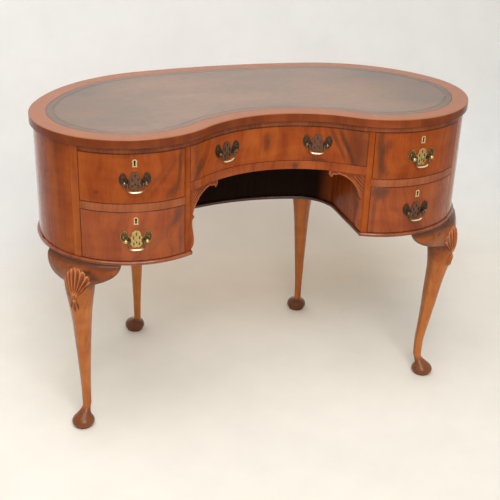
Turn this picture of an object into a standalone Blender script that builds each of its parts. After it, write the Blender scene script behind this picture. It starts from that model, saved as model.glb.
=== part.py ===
"""Kidney shaped writing desk with five curved drawers on four cabriole legs.

Metres, +Z up.  The origin lies on the floor under the middle of the top, +X runs
to the right end as the sitter sees it, and -Y points to the sitter.
"""
import math

import bmesh
import bpy
from mathutils import Vector

# Plan of the top: two round ends, a bowed back and a hollow front, all tangent arcs
top_width = 1.066
top_depth = 0.544
end_radius = 0.224
shoulder_radius = 0.365
hollow_radius = 0.271
back_rise_share = 0.135

# Heights, from the top down
desk_height = 0.765
top_thickness = 0.020
top_rail_height = 0.0135
upper_drawer_height = 0.1145
blade_height = 0.019
lower_drawer_height = 0.118
base_thickness = 0.008
centre_drawer_height = 0.0855
apron_height = 0.0202

# Carcass in plan
wall_inset = 0.008
wall_thickness = 0.012
rail_depth = 0.022
kneehole_share = 0.3949
side_thickness = 0.012
drawer_past_end_centre = 0.141
stile_width = 0.021
stile_depth = 0.036
board_thickness = 0.008
board_past_drawer = 0.004
kneehole_past_end_centre = 0.0775
kneehole_back_thickness = 0.012
kneehole_back_radius = 0.536
kneehole_corner_radius = 0.093
corner_edge = 0.002
moulding_width = 0.0062

# Leather panel let into the top
border_width = 0.0387
recess_depth = 0.0015
leather_thickness = 0.0011

# Drawers
reveal = 0.0006
front_thickness = 0.018
drawer_side_thickness = 0.008
drawer_back_room = 0.0094
drawer_side_drop = 0.010
drawer_rise = 0.0005
bottom_thickness = 0.0045
bottom_rise = 0.008
side_clearance = 0.0012

# Handles: a shaped plate with two knobs that carry a hanging bail
centre_handle_share = 0.5226
handle_drop = 0.007
plate_half_width = 0.0345
plate_height = 0.0235
plate_thickness = 0.0016
knob_spacing = 0.047
knob_length = 0.0115
knob_radius = 0.0042
bail_reach = 0.0085
bail_drop = 0.0205
bail_rod_radius = 0.0021
bail_pin_radius = 0.0014

# Key plates and locks
key_drop = 0.0205
key_plate_width = 0.0114
key_plate_height = 0.0190
key_plate_thickness = 0.0010
keyhole_radius = 0.0016
lock_width = 0.040
lock_height = 0.026
lock_thickness = 0.009

# Brackets in the corners of the kneehole
bracket_width = 0.0825
bracket_depth = 0.010

# Legs: each place along the edge, and in from it; in front from the foremost point of a round end,
# behind from the joint of back and shoulder
front_foot_along, front_foot_inset = 0.2007, 0.0287
front_ankle_along, front_ankle_inset = 0.2033, 0.0461
front_knee_along, front_knee_inset = 0.1749, 0.0149
back_foot_along, back_foot_inset = 0.0190, 0.0022
back_ankle_along, back_ankle_inset = 0.0181, 0.0215
back_knee_along, back_knee_inset = 0.0154, 0.0202
front_knee_radius = 0.034
back_knee_radius = 0.031
foot_radius = 0.0282
foot_height = 0.036
outer_ear_reach = 0.091
left_ear_reach = 0.111
right_ear_reach = 0.150
back_ear_reach = 0.095
ear_height = 0.060
ear_thickness = 0.030
ear_swell = 0.013
ear_seat = 0.001

# Clearances, and how finely curves are drawn
gap = 0.0003
curve_error = 0.0003
corner_sides = 7
bow_sides = 4
bracket_slices = 10
plate_slices = 6
leg_sides = 14
knob_sides = 8
head_sides = 8
rod_sides = 6
leg_crease = 40
rod_crease = 50

snug = gap + curve_error
wall_back = wall_inset + wall_thickness
rail_back = wall_inset + rail_depth
front_back = wall_inset + front_thickness
top_underside = desk_height - top_thickness
drawer_top = top_underside - top_rail_height
upper_drawer_bottom = drawer_top - upper_drawer_height
lower_drawer_top = upper_drawer_bottom - blade_height
base_top = lower_drawer_top - lower_drawer_height
carcass_bottom = base_top - base_thickness
centre_drawer_bottom = drawer_top - centre_drawer_height
apron_bottom = centre_drawer_bottom - apron_height
leg_height = carcass_bottom - gap
bracket_height = apron_bottom - base_top - 2 * gap

for old in list(bpy.data.objects):
    bpy.data.objects.remove(old, do_unlink=True)

# Finishes: colour, roughness, metallic
veneer = ((0.30, 0.085, 0.030), 0.32, 0.0)
solid_walnut = ((0.36, 0.130, 0.045), 0.34, 0.0)
leg_walnut = ((0.34, 0.115, 0.040), 0.34, 0.0)
lining_wood = ((0.45, 0.290, 0.150), 0.60, 0.0)
leather = ((0.085, 0.060, 0.045), 0.38, 0.0)
aged_brass = ((0.33, 0.240, 0.110), 0.38, 1.0)
bone = ((0.72, 0.600, 0.400), 0.45, 0.0)
steel = ((0.35, 0.340, 0.320), 0.45, 1.0)


def add_finish(piece, finish):
    """Give a piece its own material from a colour, a roughness and a metallic value."""
    colour, roughness, metallic = finish
    material = bpy.data.materials.new(piece.name)
    material.use_nodes = True
    shader = material.node_tree.nodes["Principled BSDF"]
    shader.inputs["Base Color"].default_value = (*colour, 1.0)
    shader.inputs["Roughness"].default_value = roughness
    shader.inputs["Metallic"].default_value = metallic
    piece.data.materials.clear()
    piece.data.materials.append(material)


def add_piece(name, mesh, finish, place=(0.0, 0.0, 0.0), parent=None):
    """Add a mesh to the scene as a named piece at a world place, carried by its parent."""
    piece = bpy.data.objects.new(name, mesh)
    bpy.context.scene.collection.objects.link(piece)
    piece.location = place
    if parent:
        piece.parent = parent
        piece.location = Vector(place) - parent.location
    add_finish(piece, finish)
    return piece


def add_empty(name, place):
    """Add an empty that carries the pieces of one moving body."""
    carrier = bpy.data.objects.new(name, None)
    bpy.context.scene.collection.objects.link(carrier)
    carrier.location = place
    return carrier


def mesh_from(shape, name, smooth_angle=None):
    """Close a bmesh into a mesh with its faces pointing out."""
    bmesh.ops.recalc_face_normals(shape, faces=shape.faces)
    if shape.calc_volume(signed=True) < 0:
        bmesh.ops.reverse_faces(shape, faces=shape.faces)
    mesh = bpy.data.meshes.new(name)
    shape.to_mesh(mesh)
    shape.free()
    if smooth_angle:
        mesh.shade_smooth()
        mesh.set_sharp_from_angle(angle=math.radians(smooth_angle))
    return mesh


def join_rings(shape, rings):
    """Skin rings of equal count into a closed tube with a face on each end."""
    for one, other in zip(rings, rings[1:]):
        for k in range(len(one)):
            following = (k + 1) % len(one)
            shape.faces.new((one[k], one[following], other[following], other[k]))
    shape.faces.new(rings[0])
    shape.faces.new(rings[-1])


def join_loop(shape, rings):
    """Skin rings of equal count into a ring shaped body, the last ring back to the first."""
    for one, other in zip(rings, rings[1:] + rings[:1]):
        for k in range(len(one)):
            following = (k + 1) % len(one)
            shape.faces.new((one[k], one[following], other[following], other[k]))


def prism(name, outline, bottom, top, finish, parent=None):
    """Raise a plan outline from one height to another."""
    shape = bmesh.new()
    carried = parent.location.xy if parent else Vector((0.0, 0.0))
    floor = shape.faces.new([shape.verts.new((x - carried.x, y - carried.y, 0.0)) for x, y in outline])
    raised = bmesh.ops.extrude_face_region(shape, geom=[floor])
    lifted = [part for part in raised["geom"] if isinstance(part, bmesh.types.BMVert)]
    bmesh.ops.translate(shape, verts=lifted, vec=(0.0, 0.0, top - bottom))
    place = (carried.x, carried.y, bottom)
    return add_piece(name, mesh_from(shape, name), finish, place, parent)


def bearing(start, end):
    """Angle of the line from one point to another."""
    return math.atan2(end.y - start.y, end.x - start.x)


# The plan's arcs: the shoulder's crest lies a share of the room behind a round end below the mid back
end_centre = Vector((top_width / 2 - end_radius, end_radius - top_depth / 2))
back_room = top_depth - 2 * end_radius
back_rise = back_room * back_rise_share
shoulder_span = shoulder_radius - end_radius
end_start = math.asin(1 - (back_room - back_rise) / shoulder_span)
shoulder_centre = end_centre - Vector((math.cos(end_start), math.sin(end_start))) * shoulder_span
back_radius = shoulder_radius + (shoulder_centre.x ** 2 + back_rise ** 2) / (2 * back_rise)
back_centre = Vector((0.0, top_depth / 2 - back_radius))
hollow_span = math.sqrt((end_radius + hollow_radius) ** 2 - end_centre.x ** 2)
hollow_centre = Vector((0.0, end_centre.y - hollow_span))

# Arcs of the right half, from mid back to mid front: centre, radius, first angle, last angle
shoulder_start = bearing(back_centre, shoulder_centre)
end_finish = bearing(end_centre, hollow_centre)
arcs = [
    (back_centre, back_radius, math.pi / 2, shoulder_start),
    (shoulder_centre, shoulder_radius, shoulder_start, end_start),
    (end_centre, end_radius, end_start, end_finish),
    (hollow_centre, -hollow_radius, end_finish + math.pi, math.pi / 2),
]
arc_lengths = [abs(radius * (last - first)) for centre, radius, first, last in arcs]
half_length = sum(arc_lengths)
shoulder_run = arc_lengths[0]
end_run = arc_lengths[0] + arc_lengths[1]
foremost_run = end_run + end_radius * (end_start + math.pi / 2)


def plan_point(run, inset):
    """Point a given run along the right half from mid back, moved inward by an inset."""
    for (centre, radius, first, last), length in zip(arcs, arc_lengths):
        if run <= length or centre is hollow_centre:
            break
        run -= length
    angle = first + (last - first) * run / length
    reach = abs(radius - inset)
    return centre + Vector((math.cos(angle), math.sin(angle))) * reach


def plan_stretch(start, finish, inset):
    """Points of the right half between two runs, with each arc's joints among them."""
    points = []
    passed = 0.0
    for (centre, radius, first, last), length in zip(arcs, arc_lengths):
        low, high = max(start, passed), min(finish, passed + length)
        if high > low:
            step = 2 * math.acos(1 - curve_error / abs(radius))
            steps = math.ceil(abs(last - first) * (high - low) / length / step)
            points += [plan_point(low + (high - low) * k / steps, inset) for k in range(steps)]
        passed += length
    return points + [plan_point(finish, inset)]


def mirrored(points):
    """The same points on the left, in reverse order."""
    return [Vector((-point.x, point.y)) for point in reversed(points)]


def kidney(inset):
    """The whole outline of the top, moved inward by an inset."""
    half = plan_stretch(0.0, half_length, inset)
    return half + mirrored(half)[1:-1]


def on_hollow(x, inset):
    """Whether the front line at a given x belongs to the hollow."""
    return abs(x) < end_centre.x * (hollow_radius + inset) / (hollow_radius + end_radius)


def front_y(x, inset):
    """Front line of the plan at a given x, moved inward by an inset."""
    if on_hollow(x, inset):
        return hollow_centre.y + math.sqrt((hollow_radius + inset) ** 2 - x ** 2)
    return end_centre.y - math.sqrt((end_radius - inset) ** 2 - (abs(x) - end_centre.x) ** 2)


def back_y(x, inset):
    """Back line of the plan between the shoulders at a given x."""
    return back_centre.y + math.sqrt((back_radius - inset) ** 2 - x ** 2)


def rear_y(x, inset):
    """Line behind a shoulder and a round end at a given x, moved inward by an inset."""
    joint = end_centre.x + (end_radius - inset) * math.cos(end_start)
    centre, radius = (end_centre, end_radius) if x > joint else (shoulder_centre, shoulder_radius)
    return centre.y + math.sqrt((radius - inset) ** 2 - (x - centre.x) ** 2)


def front_run(x, inset):
    """Run along the right half where the front line passes a given x."""
    if on_hollow(x, inset):
        return half_length - hollow_radius * math.asin(x / (hollow_radius + inset))
    return end_run + end_radius * (end_start + math.acos((x - end_centre.x) / (end_radius - inset)))


def front_line(start, finish, inset):
    """Points of the front line from one x to another."""
    if start < 0 < finish:
        return front_line(start, 0.0, inset)[:-1] + front_line(0.0, finish, inset)
    if start < 0:
        return mirrored(front_line(-finish, -start, inset))
    return plan_stretch(front_run(finish, inset), front_run(start, inset), inset)[::-1]


def front_strip(name, ends, insets, bottom, top, finish, parent=None):
    """A curved piece that follows the front between two x ends and two insets."""
    outline = front_line(*ends, insets[0]) + front_line(*ends, insets[1])[::-1]
    prism(name, outline, bottom, top, finish, parent)


# Places in plan that follow the arcs
side_inner_x = top_width / 2 * kneehole_share
side_outer_x = side_inner_x + side_thickness
drawer_outer_x = end_centre.x + drawer_past_end_centre
drawer_back_y = rear_y(drawer_outer_x, wall_back) - drawer_back_room
board_back_y = drawer_back_y + board_past_drawer
kneehole_back_y = end_centre.y + kneehole_past_end_centre
stile_start = front_run(drawer_outer_x, wall_inset) - stile_width
stile_back_y = front_y(drawer_outer_x, wall_inset) + stile_depth


# Top with its leather
def make_top():
    """The top board, with a shallow recess for the leather."""
    shape = bmesh.new()
    levels = [(0.0, 0.0), (0.0, top_thickness), (border_width, top_thickness),
              (border_width, top_thickness - recess_depth)]
    rings = [[shape.verts.new((x, y, level)) for x, y in kidney(inset)] for inset, level in levels]
    join_rings(shape, rings)
    add_piece("top_board", mesh_from(shape, "top_board"), veneer, (0.0, 0.0, top_underside))
    floor = desk_height - recess_depth + gap
    prism("leather_panel", kidney(border_width + gap), floor, floor + leather_thickness, leather)


# Base: a U shaped board, with a moulding round its edge
def kneehole_line(grow):
    """The kneehole's wall from its left front to its right front, moved in by a growth."""
    half_width = side_inner_x - grow
    corner = kneehole_corner_radius - grow
    bow = kneehole_back_radius - grow
    bow_centre = Vector((0.0, kneehole_back_y - kneehole_back_radius))
    corner_centre = Vector((half_width - corner, 0.0))
    corner_centre.y = bow_centre.y + math.sqrt((bow - corner) ** 2 - corner_centre.x ** 2)
    turn = bearing(bow_centre, corner_centre)
    right = []
    for k in range(bow_sides):
        angle = math.pi / 2 + (turn - math.pi / 2) * k / bow_sides
        right.append(bow_centre + Vector((math.cos(angle), math.sin(angle))) * bow)
    for k in range(corner_sides + 1):
        angle = turn * (1 - k / corner_sides)
        right.append(corner_centre + Vector((math.cos(angle), math.sin(angle))) * corner)
    return mirrored(right)[:-1] + right


def base_outline(grow):
    """Outline of the base: the kidney with the kneehole cut out of its front."""
    inset = wall_inset - grow
    corner_x = side_inner_x - grow
    outer = plan_stretch(0.0, front_run(side_inner_x, wall_inset), inset)
    outer[-1] = Vector((corner_x, front_y(corner_x, inset)))
    return outer + kneehole_line(grow)[::-1] + mirrored(outer)[:-1]


def make_base():
    """The base board and the moulding that frames it."""
    prism("base_board", base_outline(0.0), carcass_bottom, base_top, solid_walnut)
    shape = bmesh.new()
    chamfer = base_thickness / 4
    section = [(gap, 0.0), (moulding_width - chamfer, 0.0), (moulding_width, base_thickness / 2),
               (moulding_width - chamfer, base_thickness), (gap, base_thickness)]
    rings = [[shape.verts.new((x, y, level)) for x, y in base_outline(grow)] for grow, level in section]
    join_loop(shape, rings)
    add_piece("base_moulding", mesh_from(shape, "base_moulding"), solid_walnut, (0.0, 0.0, carcass_bottom))


# Carcass walls and boards
def make_walls():
    """The bent end panels, the bowed back and the rail under the top."""
    low, high = base_top + gap, top_underside - gap
    for side, sign in (("right", 1), ("left", -1)):
        outer = plan_stretch(shoulder_run + gap, stile_start - gap, wall_inset)
        inner = plan_stretch(shoulder_run + gap, stile_start - gap, wall_back)
        panel = [(sign * x, y) for x, y in outer + inner[::-1]]
        prism(side + "_end_panel", panel, low, high, veneer)
    outer = plan_stretch(0.0, shoulder_run, wall_inset)
    inner = plan_stretch(0.0, shoulder_run, wall_back)
    back = mirrored(outer)[:-1] + outer + (mirrored(inner)[:-1] + inner)[::-1]
    prism("back_panel", back, low, high, veneer)
    face = plan_stretch(stile_start, half_length, wall_inset)
    rear = plan_stretch(stile_start, half_length, rail_back)
    rail = face + mirrored(face)[1:] + (rear + mirrored(rear)[1:])[::-1]
    prism("top_rail", rail, drawer_top, high, veneer)


def make_uprights(side, sign):
    """The full depth side board beside the kneehole, and the stile beyond the drawers."""
    low, high = base_top + gap, drawer_top - gap
    deep = wall_back + snug
    board = [(x, front_y(x, wall_inset)) for x in (side_inner_x, side_outer_x)]
    board += [(x, back_y(x, deep)) for x in (side_outer_x, side_inner_x)]
    prism(side + "_pedestal_side", [(sign * x, y) for x, y in board], low, high, veneer)
    stile = plan_stretch(stile_start, stile_start + stile_width, wall_inset)
    joint = plan_point(stile_start, wall_back)
    stile += [Vector((drawer_outer_x, stile_back_y)), Vector((joint.x, stile_back_y)), joint]
    prism(side + "_outer_stile", [(sign * x, y) for x, y in stile], low, high, veneer)


def make_shelves(side, sign):
    """The blade between two drawers, and the dust board behind it."""
    left, right = side_outer_x + gap, drawer_outer_x - gap
    ends = sorted((sign * left, sign * right))
    low, high = lower_drawer_top, upper_drawer_bottom
    front_strip(side + "_drawer_blade", ends, (wall_inset, rail_back), low, high, veneer)
    clear = wall_back + snug
    notch = stile_back_y + gap
    wall = plan_stretch(shoulder_run, stile_start, clear)
    behind = [point for point in wall if point.y >= board_back_y][-1]
    wall = [point for point in wall if notch < point.y < board_back_y]
    share = (behind.y - board_back_y) / (behind.y - wall[0].y)
    board = front_line(left, right, rail_back + snug)
    board += [Vector((right, notch)), Vector((plan_point(stile_start, clear).x, notch))]
    board += wall[::-1]
    board += [behind.lerp(wall[0], share), Vector((left, board_back_y))]
    board = [(sign * x, y) for x, y in board]
    prism(side + "_dust_board", board, high - board_thickness, high, lining_wood)


def make_kneehole():
    """The apron rail, the dust board over the kneehole and the kneehole's bent back."""
    reach = side_inner_x - gap
    low, high = apron_bottom, centre_drawer_bottom
    front_strip("apron_rail", (-reach, reach), (wall_inset, rail_back), low, high, veneer)
    board = front_line(-reach, reach, rail_back + snug)
    board += [Vector((reach, board_back_y)), Vector((-reach, board_back_y))]
    board_bottom = high - board_thickness
    prism("centre_dust_board", board, board_bottom, high, lining_wood)
    face = [point for point in kneehole_line(0.0) if abs(point.x) < reach - corner_edge]
    rear = kneehole_back_y + kneehole_back_thickness
    block = face + [Vector((reach, face[-1].y)), Vector((reach, rear)), Vector((-reach, rear)),
                    Vector((-reach, face[0].y))]
    prism("kneehole_back", block, base_top + gap, board_bottom - gap, veneer)


def slice_across(shape, start, finish, slices):
    """Cut a flat shape into upright slices, so that it can be bent."""
    for k in range(1, slices):
        cut = start + (finish - start) * k / slices
        parts = shape.verts[:] + shape.edges[:] + shape.faces[:]
        bmesh.ops.bisect_plane(shape, geom=parts, plane_co=(cut, 0.0, 0.0), plane_no=(1.0, 0.0, 0.0),
                               dist=gap / 10)
    bmesh.ops.triangulate(shape, faces=shape.faces)


# Brackets: edge points as shares of the bracket's width from the stile and height from its foot
bracket_shares = [
    (1.0, 1.0), (0.95, 0.985), (0.94, 0.925), (0.85, 0.915), (0.81, 0.955), (0.74, 0.965), (0.60, 0.950),
    (0.47, 0.920), (0.35, 0.868), (0.26, 0.800), (0.17, 0.725), (0.115, 0.645), (0.085, 0.585),
    (0.155, 0.545), (0.080, 0.505), (0.085, 0.400), (0.115, 0.290), (0.145, 0.170), (0.125, 0.085),
    (0.060, 0.030), (0.0, 0.0),
]


def make_bracket(side, sign):
    """A shaped bracket under the apron, bent to the line of the front."""
    start = side_inner_x - gap
    low = apron_bottom - gap - bracket_height
    shape = bmesh.new()
    outline = [(start, low + bracket_height)]
    for across, up in bracket_shares:
        outline.append((start - bracket_width * across, low + bracket_height * up))
    shape.faces.new([shape.verts.new((x, 0.0, z)) for x, z in outline])
    slice_across(shape, start - bracket_width, start, bracket_slices)
    raised = bmesh.ops.extrude_face_region(shape, geom=shape.faces[:])
    moved = [part for part in raised["geom"] if isinstance(part, bmesh.types.BMVert)]
    bmesh.ops.translate(shape, verts=moved, vec=(0.0, bracket_depth, 0.0))
    for vert in shape.verts:
        vert.co.y += front_y(vert.co.x, wall_inset)
        vert.co.x *= sign
    add_piece(side + "_bracket", mesh_from(shape, side + "_bracket"), solid_walnut)


# Legs: height up the leg, lean from ankle to knee, and half thickness, as shares
leg_shares = [
    (1.0, 1.0, 0.84), (0.965, 1.0, 0.96), (0.92, 1.0, 1.0), (0.87, 1.0, 0.97), (0.83, 1.0, 0.91),
    (0.785, 1.0, 0.84), (0.72, 0.93, 0.745), (0.635, 0.76, 0.655), (0.55, 0.61, 0.585), (0.465, 0.48, 0.515),
    (0.38, 0.33, 0.45), (0.295, 0.165, 0.40), (0.21, 0.02, 0.355), (0.15, 0.0, 0.335), (0.11, 0.0, 0.325),
]
# Foot: height up the foot, shift from ankle to foot, and radius, as shares
foot_shares = [
    (0.96, 0.15, 0.41), (0.82, 0.45, 0.50), (0.68, 0.75, 0.65), (0.54, 0.95, 0.83), (0.42, 1.0, 0.95),
    (0.32, 1.0, 1.0), (0.22, 1.0, 0.97), (0.14, 1.0, 0.88), (0.12, 1.0, 0.80), (0.0, 1.0, 0.75),
]
# Ear: place from the outer tip to the inner tip, height, swell and thickness, as shares
ear_shares = [
    (-1.0, 0.06, 0.1, 0.3), (-0.96, 0.50, 0.55, 0.55), (-0.86, 0.80, 0.75, 0.8), (-0.66, 0.92, 0.85, 1.0),
    (-0.33, 0.98, 0.95, 1.0), (0.0, 1.0, 1.0, 1.0), (0.2, 1.0, 1.0, 1.0), (0.35, 0.95, 0.95, 1.0),
    (0.49, 0.83, 0.85, 0.95), (0.60, 0.69, 0.70, 0.85), (0.71, 0.54, 0.55, 0.7), (0.81, 0.37, 0.4, 0.6),
    (0.91, 0.19, 0.2, 0.45), (1.0, 0.03, 0.05, 0.3),
]
# Section of an ear: depth behind the moulding, swell in front of it, and drop, as shares
ear_section_shares = [
    (1.0, 0.0, 0.0), (1.0, 0.0, 0.55), (0.7, 0.0, 0.96), (0.0, 0.5, 1.0), (0.0, 1.0, 0.65),
    (0.0, 0.78, 0.25), (0.0, 0.0, 0.0),
]


def leg_rings(foot, ankle, knee, knee_radius):
    """Rings of the leg from its head to the floor: middle, height and radius."""
    rings = []
    for up, lean, share in leg_shares:
        rings.append((ankle.lerp(knee, lean), leg_height * up, knee_radius * share))
    for up, shift, share in foot_shares:
        rings.append((ankle.lerp(foot, shift), foot_height * up, foot_radius * share))
    return rings


def ears_shape(run, outer_reach, inner_reach):
    """The pair of ears on a knee, one curved block that follows the base moulding."""
    shape = bmesh.new()
    seat = wall_inset - moulding_width + ear_seat
    rings = []
    for along, up, out, deep in ear_shares:
        reach = outer_reach if along < 0 else inner_reach
        ring = []
        for back_share, swell_share, down_share in ear_section_shares:
            inset = seat + ear_thickness * deep * back_share - ear_swell * out * swell_share
            point = plan_point(run + reach * along, inset)
            level = leg_height - ear_height * up * down_share
            ring.append(shape.verts.new((point.x, point.y, level)))
        rings.append(ring)
    join_rings(shape, rings)
    return shape


def make_leg(name, sign, bones, knee_radius, ears):
    """A cabriole leg with a pad foot, joined with the ears of its knee."""
    shape = bmesh.new()
    rings = []
    for middle, level, radius in leg_rings(*bones, knee_radius):
        ring = []
        for k in range(leg_sides):
            turn = 2 * math.pi * k / leg_sides
            point = middle + Vector((math.cos(turn), math.sin(turn))) * radius
            ring.append(shape.verts.new((point.x, point.y, level)))
        rings.append(ring)
    join_rings(shape, rings)
    mesh = joined(mesh_from(shape, name), mesh_from(ears_shape(*ears), name + "_ears"))
    for vert in mesh.vertices:
        vert.co.x *= sign
    if sign < 0:
        mesh.flip_normals()
    mesh.shade_smooth()
    mesh.set_sharp_from_angle(angle=math.radians(leg_crease))
    add_piece(name, mesh, leg_walnut)


def joined(mesh, other_mesh):
    """Mesh of the Boolean union of two meshes."""
    piece = bpy.data.objects.new("piece", mesh)
    other = bpy.data.objects.new("other", other_mesh)
    for part in (piece, other):
        bpy.context.scene.collection.objects.link(part)
    union = piece.modifiers.new("union", "BOOLEAN")
    union.operation = "UNION"
    union.solver = "EXACT"
    union.object = other
    bpy.context.view_layer.update()
    seen = piece.evaluated_get(bpy.context.evaluated_depsgraph_get())
    result = bpy.data.meshes.new_from_object(seen)
    for part in (piece, other):
        bpy.data.objects.remove(part, do_unlink=True)
    return result


# Drawers
def make_drawer(name, left, right, low, high):
    """A drawer with a curved front, a box of two sides and a back, and a bottom."""
    middle = (left + right) / 2
    body = add_empty(name, (middle, front_y(middle, wall_inset), (low + high) / 2))
    front_strip(name + "_front", (left + reveal, right - reveal), (wall_inset, front_back),
                low + reveal, high - reveal, veneer, body)
    seat = front_back + snug
    left, right = left + side_clearance, right - side_clearance
    inner_left, inner_right = left + drawer_side_thickness, right - drawer_side_thickness
    inner_back = drawer_back_y - drawer_side_thickness
    box = [(left, front_y(left, seat)), (inner_left, front_y(inner_left, seat)),
           (inner_left, inner_back), (inner_right, inner_back),
           (inner_right, front_y(inner_right, seat)), (right, front_y(right, seat)),
           (right, drawer_back_y), (left, drawer_back_y)]
    prism(name + "_box", box, low + drawer_rise, high - drawer_side_drop, lining_wood, body)
    floor = front_line(inner_left + gap, inner_right - gap, seat)
    floor += [Vector((inner_right - gap, inner_back - gap)), Vector((inner_left + gap, inner_back - gap))]
    level = low + bottom_rise
    prism(name + "_bottom", floor, level, level + bottom_thickness, lining_wood, body)
    return body


# Handle plate: half outline from top middle to bottom middle, as shares of its half width and height
plate_shares = [
    (0.0, 0.80), (0.12, 0.87), (0.26, 0.82), (0.36, 0.64), (0.43, 0.44), (0.50, 0.62), (0.58, 0.90),
    (0.72, 1.0), (0.87, 0.91), (0.97, 0.66), (1.0, 0.36), (0.97, 0.06), (0.87, -0.22), (0.72, -0.36),
    (0.56, -0.36), (0.44, -0.34), (0.34, -0.50), (0.25, -0.68), (0.12, -0.77), (0.0, -0.70),
]
# Knob from its root: place out along the bail's reach, and radius, as shares
knob_shares = [(0.25, 0.95), (0.35, 0.70), (0.60, 0.70), (0.75, 1.0), (1.15, 1.0)]
# Keyhole: half outline below its round head, as shares of the head's radius, from the head down
keyhole_shares = [(0.55, 2.0), (1.0, 4.0), (0.0, 4.0)]
# Key plate: half outline below its round crown, as shares of its half width and its height
key_plate_shares = [(0.86, 0.60), (1.0, 1.0), (0.0, 1.0)]


def bent(across, out, curve):
    """Where a point of a flat plate lands when the plate is bent to a curved front."""
    angle = across / curve
    reach = curve + out
    return reach * math.sin(angle), curve - reach * math.cos(angle)


def plate_mesh(name, curve):
    """The handle plate bent to a front, with its two knobs."""
    shape = bmesh.new()
    right = [(plate_half_width * across, plate_height * up) for across, up in plate_shares]
    outline = right + [(-across, up) for across, up in right[-2:0:-1]]
    shape.faces.new([shape.verts.new((across, 0.0, up)) for across, up in outline])
    slice_across(shape, -plate_half_width, plate_half_width, plate_slices)
    raised = bmesh.ops.extrude_face_region(shape, geom=shape.faces[:])
    front = {part for part in raised["geom"] if isinstance(part, bmesh.types.BMVert)}
    for vert in shape.verts:
        out = gap + (plate_thickness if vert in front else 0.0)
        vert.co.x, vert.co.y = bent(vert.co.x, out, curve)
    root = bent(knob_spacing / 2, gap + plate_thickness / 2, curve)[1]
    return joined(mesh_from(shape, name), mesh_from(knobs_shape(-root), name + "_knobs"))


def knobs_shape(root):
    """Two turned knobs that stand out of the plate."""
    shape = bmesh.new()
    profile = [(root, knob_radius)]
    profile += [(bail_reach * along, knob_radius * radius) for along, radius in knob_shares]
    profile.append((knob_length, knob_radius / 2))
    for across in (-knob_spacing / 2, knob_spacing / 2):
        rings = []
        for out, radius in profile:
            ring = []
            for k in range(knob_sides):
                angle = 2 * math.pi * (k + 0.5) / knob_sides
                side, up = radius * math.cos(angle), radius * math.sin(angle)
                ring.append(shape.verts.new((across + side, -out, up)))
            rings.append(ring)
        join_rings(shape, rings)
    return shape


# Bail: half path from a knob to the middle, as shares of half the knob spacing and of the drop
bail_shares = [
    (1.0, 0.0, 0.0), (0.80, 0.0, 0.0), (0.735, 0.07, 1.0), (0.715, 0.24, 1.0), (0.745, 0.45, 1.0),
    (0.76, 0.62, 1.0), (0.72, 0.80, 1.0), (0.60, 0.92, 1.0), (0.42, 0.98, 1.0), (0.20, 1.0, 1.0),
]


def bail_mesh(name):
    """The bail: a rod bent in a shallow swan neck, with a pin at each end."""
    reach = knob_spacing / 2 - knob_radius - gap
    half = []
    for across, down, fullness in bail_shares:
        radius = bail_pin_radius + (bail_rod_radius - bail_pin_radius) * fullness
        half.append((min(reach, across * knob_spacing / 2), -down * bail_drop, radius))
    path = [(-x, z, radius) for x, z, radius in half] + half[::-1]
    shape = bmesh.new()
    rings = []
    for k, (x, z, radius) in enumerate(path):
        before, after = path[max(0, k - 1)], path[min(len(path) - 1, k + 1)]
        along = Vector((after[0] - before[0], 0.0, after[1] - before[1])).normalized()
        across = Vector((-along.z, 0.0, along.x))
        ring = []
        for i in range(rod_sides):
            angle = 2 * math.pi * i / rod_sides
            off = across * math.cos(angle) + Vector((0.0, 1.0, 0.0)) * math.sin(angle)
            ring.append(shape.verts.new(Vector((x, 0.0, z)) + off * radius))
        rings.append(ring)
    join_rings(shape, rings)
    return mesh_from(shape, name, rod_crease)


def round_headed(radius, first, last, tail, centre):
    """Outline with a round head between two angles over a tail, whose half points are mirrored."""
    outline = []
    for k in range(head_sides + 1):
        angle = first + (last - first) * k / head_sides
        outline.append((radius * math.cos(angle), centre + radius * math.sin(angle)))
    outline += [(-x, z) for x, z in tail]
    return outline + tail[-2::-1]


def key_plate_mesh():
    """A shield shaped key plate with a keyhole right through it."""
    half_width = key_plate_width / 2
    top = key_plate_height / 2
    crown = top - half_width
    tail = [(half_width * across, top - key_plate_height * down) for across, down in key_plate_shares]
    outer = round_headed(half_width, 0.0, math.pi, tail, crown)
    tail = [(keyhole_radius * across, crown - keyhole_radius * down) for across, down in keyhole_shares]
    inner = round_headed(keyhole_radius, -math.pi / 6, math.pi * 7 / 6, tail, crown)
    shape = bmesh.new()
    front = gap + key_plate_thickness
    rings = []
    for outline, out in ((outer, gap), (outer, front), (inner, front), (inner, gap)):
        rings.append([shape.verts.new((x, -out, z)) for x, z in outline])
    join_loop(shape, rings)
    return mesh_from(shape, "key_plate")


def lock_mesh():
    """A lock case that stands behind a drawer front."""
    back_curve = end_radius - front_back
    face = math.sqrt(back_curve ** 2 - (lock_width / 2) ** 2) - gap
    near = end_radius - wall_inset - face
    shape = bmesh.new()
    bmesh.ops.create_cube(shape, size=1.0)
    bmesh.ops.scale(shape, verts=shape.verts, vec=(lock_width, lock_thickness, lock_height))
    bmesh.ops.translate(shape, verts=shape.verts, vec=(0.0, near + lock_thickness / 2, 0.0))
    return mesh_from(shape, "lock")


def fit_on_front(name, mesh, finish, x, z, parent, out=0.0):
    """Place a shared mesh on a drawer front, turned to face along the front's normal."""
    spot = Vector((x, front_y(x, wall_inset)))
    if on_hollow(x, wall_inset):
        outward = (hollow_centre - spot).normalized()
    else:
        middle = Vector((math.copysign(end_centre.x, x), end_centre.y))
        outward = (spot - middle).normalized()
    place = spot + outward * out
    piece = add_piece(name, mesh.copy(), finish, (place.x, place.y, z), parent)
    piece.rotation_euler.z = math.atan2(outward.x, -outward.y)


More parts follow.
